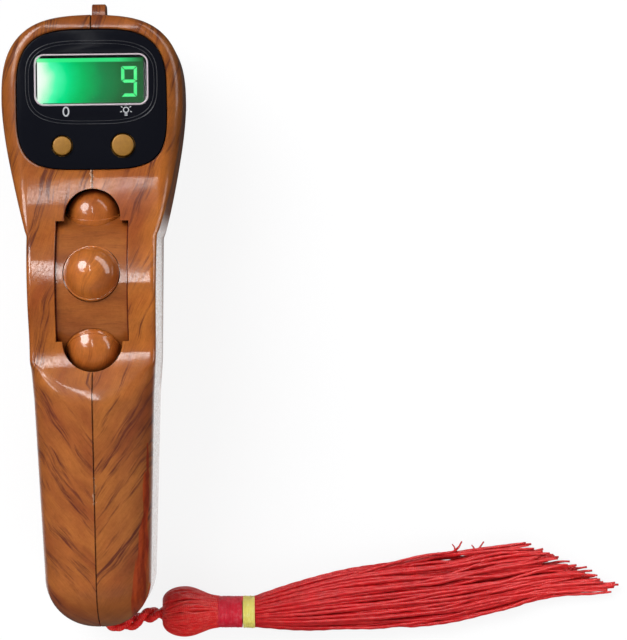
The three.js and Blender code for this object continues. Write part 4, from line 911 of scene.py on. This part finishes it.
def ring_of_beads():
    """Geometry nodes: copies of one bead, evenly spaced about the axle."""
    group, given = new_group("ring of beads", "GeometryNodeTree", {
        "Geometry": ("Geometry",), "Object": ("Bead",), "Int": ("Count",), "Float": ("First angle",),
        "Vector": ("Axle",), "Material": ("Material",),
    }, {"Geometry": ("Geometry",)})
    turned = wire(group, "GeometryNodeInputIndex") * (-math.tau / given["Count"]) - given["First angle"]
    copies = wire(group, "GeometryNodeInstanceOnPoints", {
        "Points": wire(group, "GeometryNodeMeshLine", {
            "Count": given["Count"], "Start Location": given["Axle"], "Offset": (0, 0, 0)}),
        "Instance": wire(group, "GeometryNodeObjectInfo", {"Object": given["Bead"]}, "Geometry"),
        "Rotation": wire(group, "FunctionNodeEulerToRotation", {0: wire(group, "ShaderNodeCombineXYZ", {0: turned})}),
    })
    dressed = wire(group, "GeometryNodeSetMaterial", {
        "Geometry": wire(group, "GeometryNodeRealizeInstances", {0: copies}), "Material": given["Material"]})
    put(group, "NodeGroupOutput", {0: dressed})
    return group


def grown(name, group, values):
    """A plain mesh from a geometry nodes tree and its named inputs."""
    holder = add_mesh(name, [(0, 0, 0)], [])
    modifier = holder.modifiers.new("grow", "NODES")
    modifier.node_group = group
    for item in group.interface.items_tree:
        if item.item_type == "SOCKET" and item.in_out == "INPUT" and item.name in values:
            modifier[item.identifier] = values[item.name]
    bpy.context.view_layer.update()
    mesh = bpy.data.meshes.new_from_object(holder.evaluated_get(bpy.context.evaluated_depsgraph_get()))
    holder.modifiers.clear()
    holder.data = mesh
    return holder


beads = grown("beads", ring_of_beads(), {
    "Bead": one_bead, "Count": bead_count, "First angle": first_bead_angle,
    "Axle": (0.0, (wheel_y + end_y) * MM, wheel_z * MM), "Material": bead_wood,
})
bpy.data.objects.remove(one_bead)
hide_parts(*[f"bead_{i}" for i in range(1, 7)])
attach(beads, "wheel")

# Fascia. A black gloss plate is let into the head. It has a fine raised line round the display, and two
# small signs are printed over the keys.
black_gloss, tree = new_material("black_gloss")
surface(tree, {"Base Color": linear(17, 18, 24), "Specular IOR Level": 0.025,
               "Roughness": noise(places(tree)[0], 0.9, 4.0, 0.7).ramp(0.3, 0.8, 0.1, 0.22)})
fascia_z, screen_y = 30.8, 100.8
reset_x, light_x, key_y = -5.4, 5.65, 88.75
fascia = at_levels("fascia", [(29.4, fascia_outline(-0.1)), (29.5, fascia_outline(0.0)), (30.55, fascia_outline(0.0)),
                              (30.73, fascia_outline(-0.07)), (fascia_z, fascia_outline(-0.25))])
combine(fascia, prism("screen_hole", rounded_rectangle(10.5, 4.8, 1.8, screen_y), 25, 35),
        prism("reset_hole", circle(2.0, reset_x, key_y), 25, 35),
        prism("light_hole", circle(2.3, light_x, key_y), 25, 35))
dress(fascia, black_gloss, 40)
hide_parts("display_bezel")
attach(fascia, "case")


def plain(name, values):
    """A material of one even finish."""
    material, tree = new_material(name)
    surface(tree, values)
    return material


def closed_ring(name, outline, radius, z, material):
    """A fine rounded line that follows a closed outline on a flat face."""
    rings = []
    for i, (x, y) in enumerate(outline):
        (x0, y0), (x1, y1) = outline[i - 1], outline[(i + 1) % len(outline)]
        along = Vector((x1 - x0, y1 - y0)).normalized()
        rings.append([(x + along.y * u, y - along.x * u, z + v) for u, v in circle(radius, 0, 0, 8)])
    made = skin(name, rings, closed=True)
    dress(made, material)
    made.data.shade_smooth()
    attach(made, "case")
    return made


line_gloss = plain("raised_line", {"Base Color": linear(30, 32, 38), "Roughness": 0.3})
for name, half_x, half_y, radius in (("raised_line", 12.0, 7.6, 0.09), ("inner_line", 11.45, 7.05, 0.06)):
    line = closed_ring(name, oval(half_x, half_y, 0.0, 100.3, 160, 3.3), radius, fascia_z - 0.01, line_gloss)


def printed(name, outlines, low, high, material):
    """Flat signs, each from an outline in plan and an inner outline or none."""
    points, faces = [], []
    for outer, inner in outlines:
        base, count = len(points), len(outer)
        for z in (low, high):
            points += [(x, y, z) for x, y in [*outer, *(inner or [])]]
        step = 2 * count if inner else count
        for k in range(count):
            n = (k + 1) % count
            faces.append((base + k, base + n, base + step + n, base + step + k))
            if inner:
                faces.append((base + count + n, base + count + k, base + step + count + k, base + step + count + n))
                faces += [(level + k, level + n, level + count + n, level + count + k) for level in (base, base + step)]
        if not inner:
            faces += [tuple(range(start, start + count)) for start in (base, base + step)]
    made = solid(name, points, faces)
    dress(made, material)
    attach(made, "case")


def stroke(x0, y0, x1, y1, half):
    """The outline of a straight stroke between two points."""
    along = Vector((x1 - x0, y1 - y0)).normalized() * half
    return [(x0 + along.y, y0 - along.x), (x1 + along.y, y1 - along.x),
            (x1 - along.y, y1 + along.x), (x0 - along.y, y0 + along.x)]


pale_print = plain("pale_print", {"Base Color": linear(176, 178, 182), "Roughness": 0.5})
nought_x, nought_y, lamp_x, lamp_y = -4.65, 95.0, 6.3, 95.2
signs = [(oval(0.62, 0.92, nought_x, nought_y, 40), oval(0.37, 0.66, nought_x, nought_y, 40)),
         (circle(0.56, lamp_x, lamp_y, 40), circle(0.38, lamp_x, lamp_y, 40))]
signs += [(stroke(lamp_x - 0.26, lamp_y - drop, lamp_x + 0.26, lamp_y - drop, 0.085), None) for drop in (0.72, 0.98)]
for turn in (-20, 35, 90, 145, 200):
    c, s = math.cos(math.radians(turn)), math.sin(math.radians(turn))
    signs.append((stroke(lamp_x + 0.78 * c, lamp_y + 0.78 * s, lamp_x + 1.12 * c, lamp_y + 1.12 * s, 0.08), None))
printed("printed_signs", signs, fascia_z - 0.01, fascia_z + 0.015, pale_print)

# Display. A clear window with a pale printed line covers a liquid crystal panel, which a lamp at its left
# end lights green. One plain digit shows at the right.
glass, tree = new_material("clear_window")
put(tree, "ShaderNodeOutputMaterial", {"Surface": wire(tree, "ShaderNodeMixShader", {
    0: wire(tree, "ShaderNodeLightPath", output="Is Shadow Ray"),
    1: wire(tree, "ShaderNodeBsdfPrincipled", {"Base Color": (0.98, 1.0, 0.99, 1), "Roughness": 0.02,
                                               "Transmission Weight": 1.0, "IOR": 1.12, "Specular IOR Level": 0.2}),
    2: wire(tree, "ShaderNodeBsdfTransparent"),
})})
lens = at_levels("window_lens", [
    (z, rounded_rectangle(half_x, half_y, corner, screen_y))
    for half_x, half_y, corner, z in ((11.4, 5.7, 1.8, 28.2), (11.4, 5.7, 1.8, 29.1), (10.2, 4.5, 1.8, 29.11),
                                      (10.2, 4.5, 1.8, 30.6), (10.1, 4.4, 1.7, 30.7))
])
dress(lens, glass, 30)
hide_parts("display_window")
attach(lens, "case")

pale_line = plain("pale_line", {"Base Color": linear(196, 180, 188), "Roughness": 0.35})
frame_line = closed_ring("frame_line", rounded_rectangle(10.28, 4.58, 1.7, screen_y), 0.15, 30.66, pale_line)

lcd, tree = new_material("lit_panel")
place, x, y, _ = places(tree)
height = y - (screen_y + end_y)
from_lamp = (x + height * height * 0.1 + (noise(place, 0.35, 1.0) - 0.5) * 1.6).ramp(-10.0, 10.0)
glow = put(tree, "ShaderNodeValToRGB", {0: from_lamp})
stops = ((0.0, (250, 255, 250)), (0.07, (225, 255, 232)), (0.17, (80, 250, 176)), (0.27, (4, 226, 138)),
         (0.42, (6, 186, 96)), (0.6, (30, 134, 74)), (0.8, (40, 102, 58)), (1.0, (42, 92, 54)))
for _ in stops[2:]:
    glow.color_ramp.elements.new(0.5)
for element, (at, colour) in zip(glow.color_ramp.elements, stops):
    element.position = at
    element.color = linear(*colour)
top_glow = height.ramp(3.3, 3.5) * (x.ramp(5.0, 9.3, 1.0, 0.0) * 0.75)
put(tree, "ShaderNodeOutputMaterial", {"Surface": wire(tree, "ShaderNodeMixShader", {
    0: (abs(x + 0.3) < 9.72) * (abs(height) < 4.1),
    1: wire(tree, "ShaderNodeBsdfPrincipled", {"Base Color": linear(8, 10, 14), "Roughness": 0.4}),
    2: wire(tree, "ShaderNodeBsdfPrincipled", {
        "Base Color": linear(8, 12, 10), "Roughness": 0.7, "Specular IOR Level": 0.0, "Emission Strength": 1.0,
        "Emission Color": top_glow.mix(Wire(glow.outputs[0]), linear(60, 245, 140))}),
})})
dress(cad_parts["lcd_panel"], lcd)

digit_low, digit_high, digit_left, digit_right, bar, gap = 97.75, 103.35, 5.3, 8.2, 0.6, 0.12
waist = (digit_low + digit_high) / 2 + 0.05
bars = [[(digit_left + 0.2, waist), (digit_left + bar, waist + bar / 2), (digit_right - bar, waist + bar / 2),
         (digit_right - 0.2, waist), (digit_right - bar, waist - bar / 2), (digit_left + bar, waist - bar / 2)]]
for y, way in ((digit_high, -1), (digit_low, 1)):
    bars.append([(digit_left + gap, y), (digit_right - gap, y), (digit_right - bar - gap / 2, y + way * bar),
                 (digit_left + bar + gap / 2, y + way * bar)])
for x, way, low, high in ((digit_left, 1, waist, digit_high), (digit_right, -1, waist, digit_high),
                          (digit_right, -1, digit_low, waist)):
    inner_low = low + (bar / 2 if low == waist else bar) + gap / 2
    inner_high = high - (bar / 2 if high == waist else bar) - gap / 2
    bars.append([(x, low + gap), (x + way * bar, inner_low), (x + way * bar, inner_high), (x, high - gap)])
leaning = [([(x + 0.01 * (y - digit_low), y) for x, y in corners], None) for corners in bars]
lit_digit = plain("lit_digit", {"Base Color": linear(10, 30, 16), "Emission Color": linear(20, 232, 118),
                                "Emission Strength": 1.0})
printed("digit", leaning, 27.92, 27.98, lit_digit)

# Keys. Two turned metal keys with a thin gold plating stand a little proud of the fascia. Each rests on
# the plunger of its own switch.
gold, tree = new_material("gold_plate")
grain = noise(places(tree)[0], 1.4, 5.0, 0.75)
surface(tree, {"Base Color": grain.mix(linear(112, 72, 10), linear(162, 114, 24)), "Roughness": 0.5, "Metallic": 0.35,
               "Normal": wire(tree, "ShaderNodeBump", {"Height": grain, "Strength": 0.3, "Distance": 0.02 * MM})})
key_round, key_top_z = 0.22, 31.5
for name, x, radius, node_name, body_name in (("reset_key_top", reset_x, 1.7, "reset_button", "reset_key"),
                                              ("light_key_top", light_x, 2.0, "light_button", "light_key")):
    profile = [(26.1, 1.0), (28.3, 1.0), (28.3, 2.6), (29.1, 2.6), (29.1, radius), (31.25, radius)]
    profile += [(key_top_z - key_round * (1 - math.sin(t)), radius - key_round * (1 - math.cos(t)))
                for t in np.linspace(0.1, math.pi / 2, 6)]
    key = at_levels(name, [(z, circle(r, x, key_y)) for z, r in profile])
    dress(key, gold, 40)
    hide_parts(node_name)
    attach(key, body_name)


# Works inside the case and the fittings behind it. Each keeps its CAD shape and gets its own finish.
def mottled(name, colour, dark, roughness, metallic=0.0):
    """A finish with a fine mottle in its colour and its gloss."""
    material, tree = new_material(name)
    cloud = noise(places(tree)[0], 0.6, 4.0, 0.65)
    surface(tree, {"Base Color": cloud.mix(linear(*colour), linear(*dark)), "Metallic": metallic,
                   "Roughness": cloud.ramp(0.3, 0.7, roughness, roughness + 0.12)})
    return material


finishes = {
    mottled("bright_steel", (196, 198, 200), (168, 170, 172), 0.22, 1.0):
        ("wheel_axle", "reset_switch", "light_switch", "coin_cell", "case_screw_1", "case_screw_2", "case_screw_3",
         "case_screw_4", "tassel_pin"),
    mottled("spring_bronze", (206, 160, 92), (176, 130, 70), 0.28, 1.0):
        ("contact_leaf", "fixed_contact", "top_contact", "rim_contact"),
    mottled("milky_plastic", (232, 234, 226), (214, 216, 208), 0.4):
        ("left_washer", "right_washer", "light_guide", "backlight_led"),
    mottled("dark_plastic", (34, 34, 37), (22, 22, 25), 0.5):
        ("contact_block", "zebra_strip", "counter_chip", "reset_plunger", "light_plunger"),
    mottled("solder_resist", (34, 92, 56), (24, 74, 44), 0.35): ("display_board",),
    case_wood: ("battery_cap",),
}
for material, names in finishes.items():
    for node_name in names:
        dress(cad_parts[node_name], material)
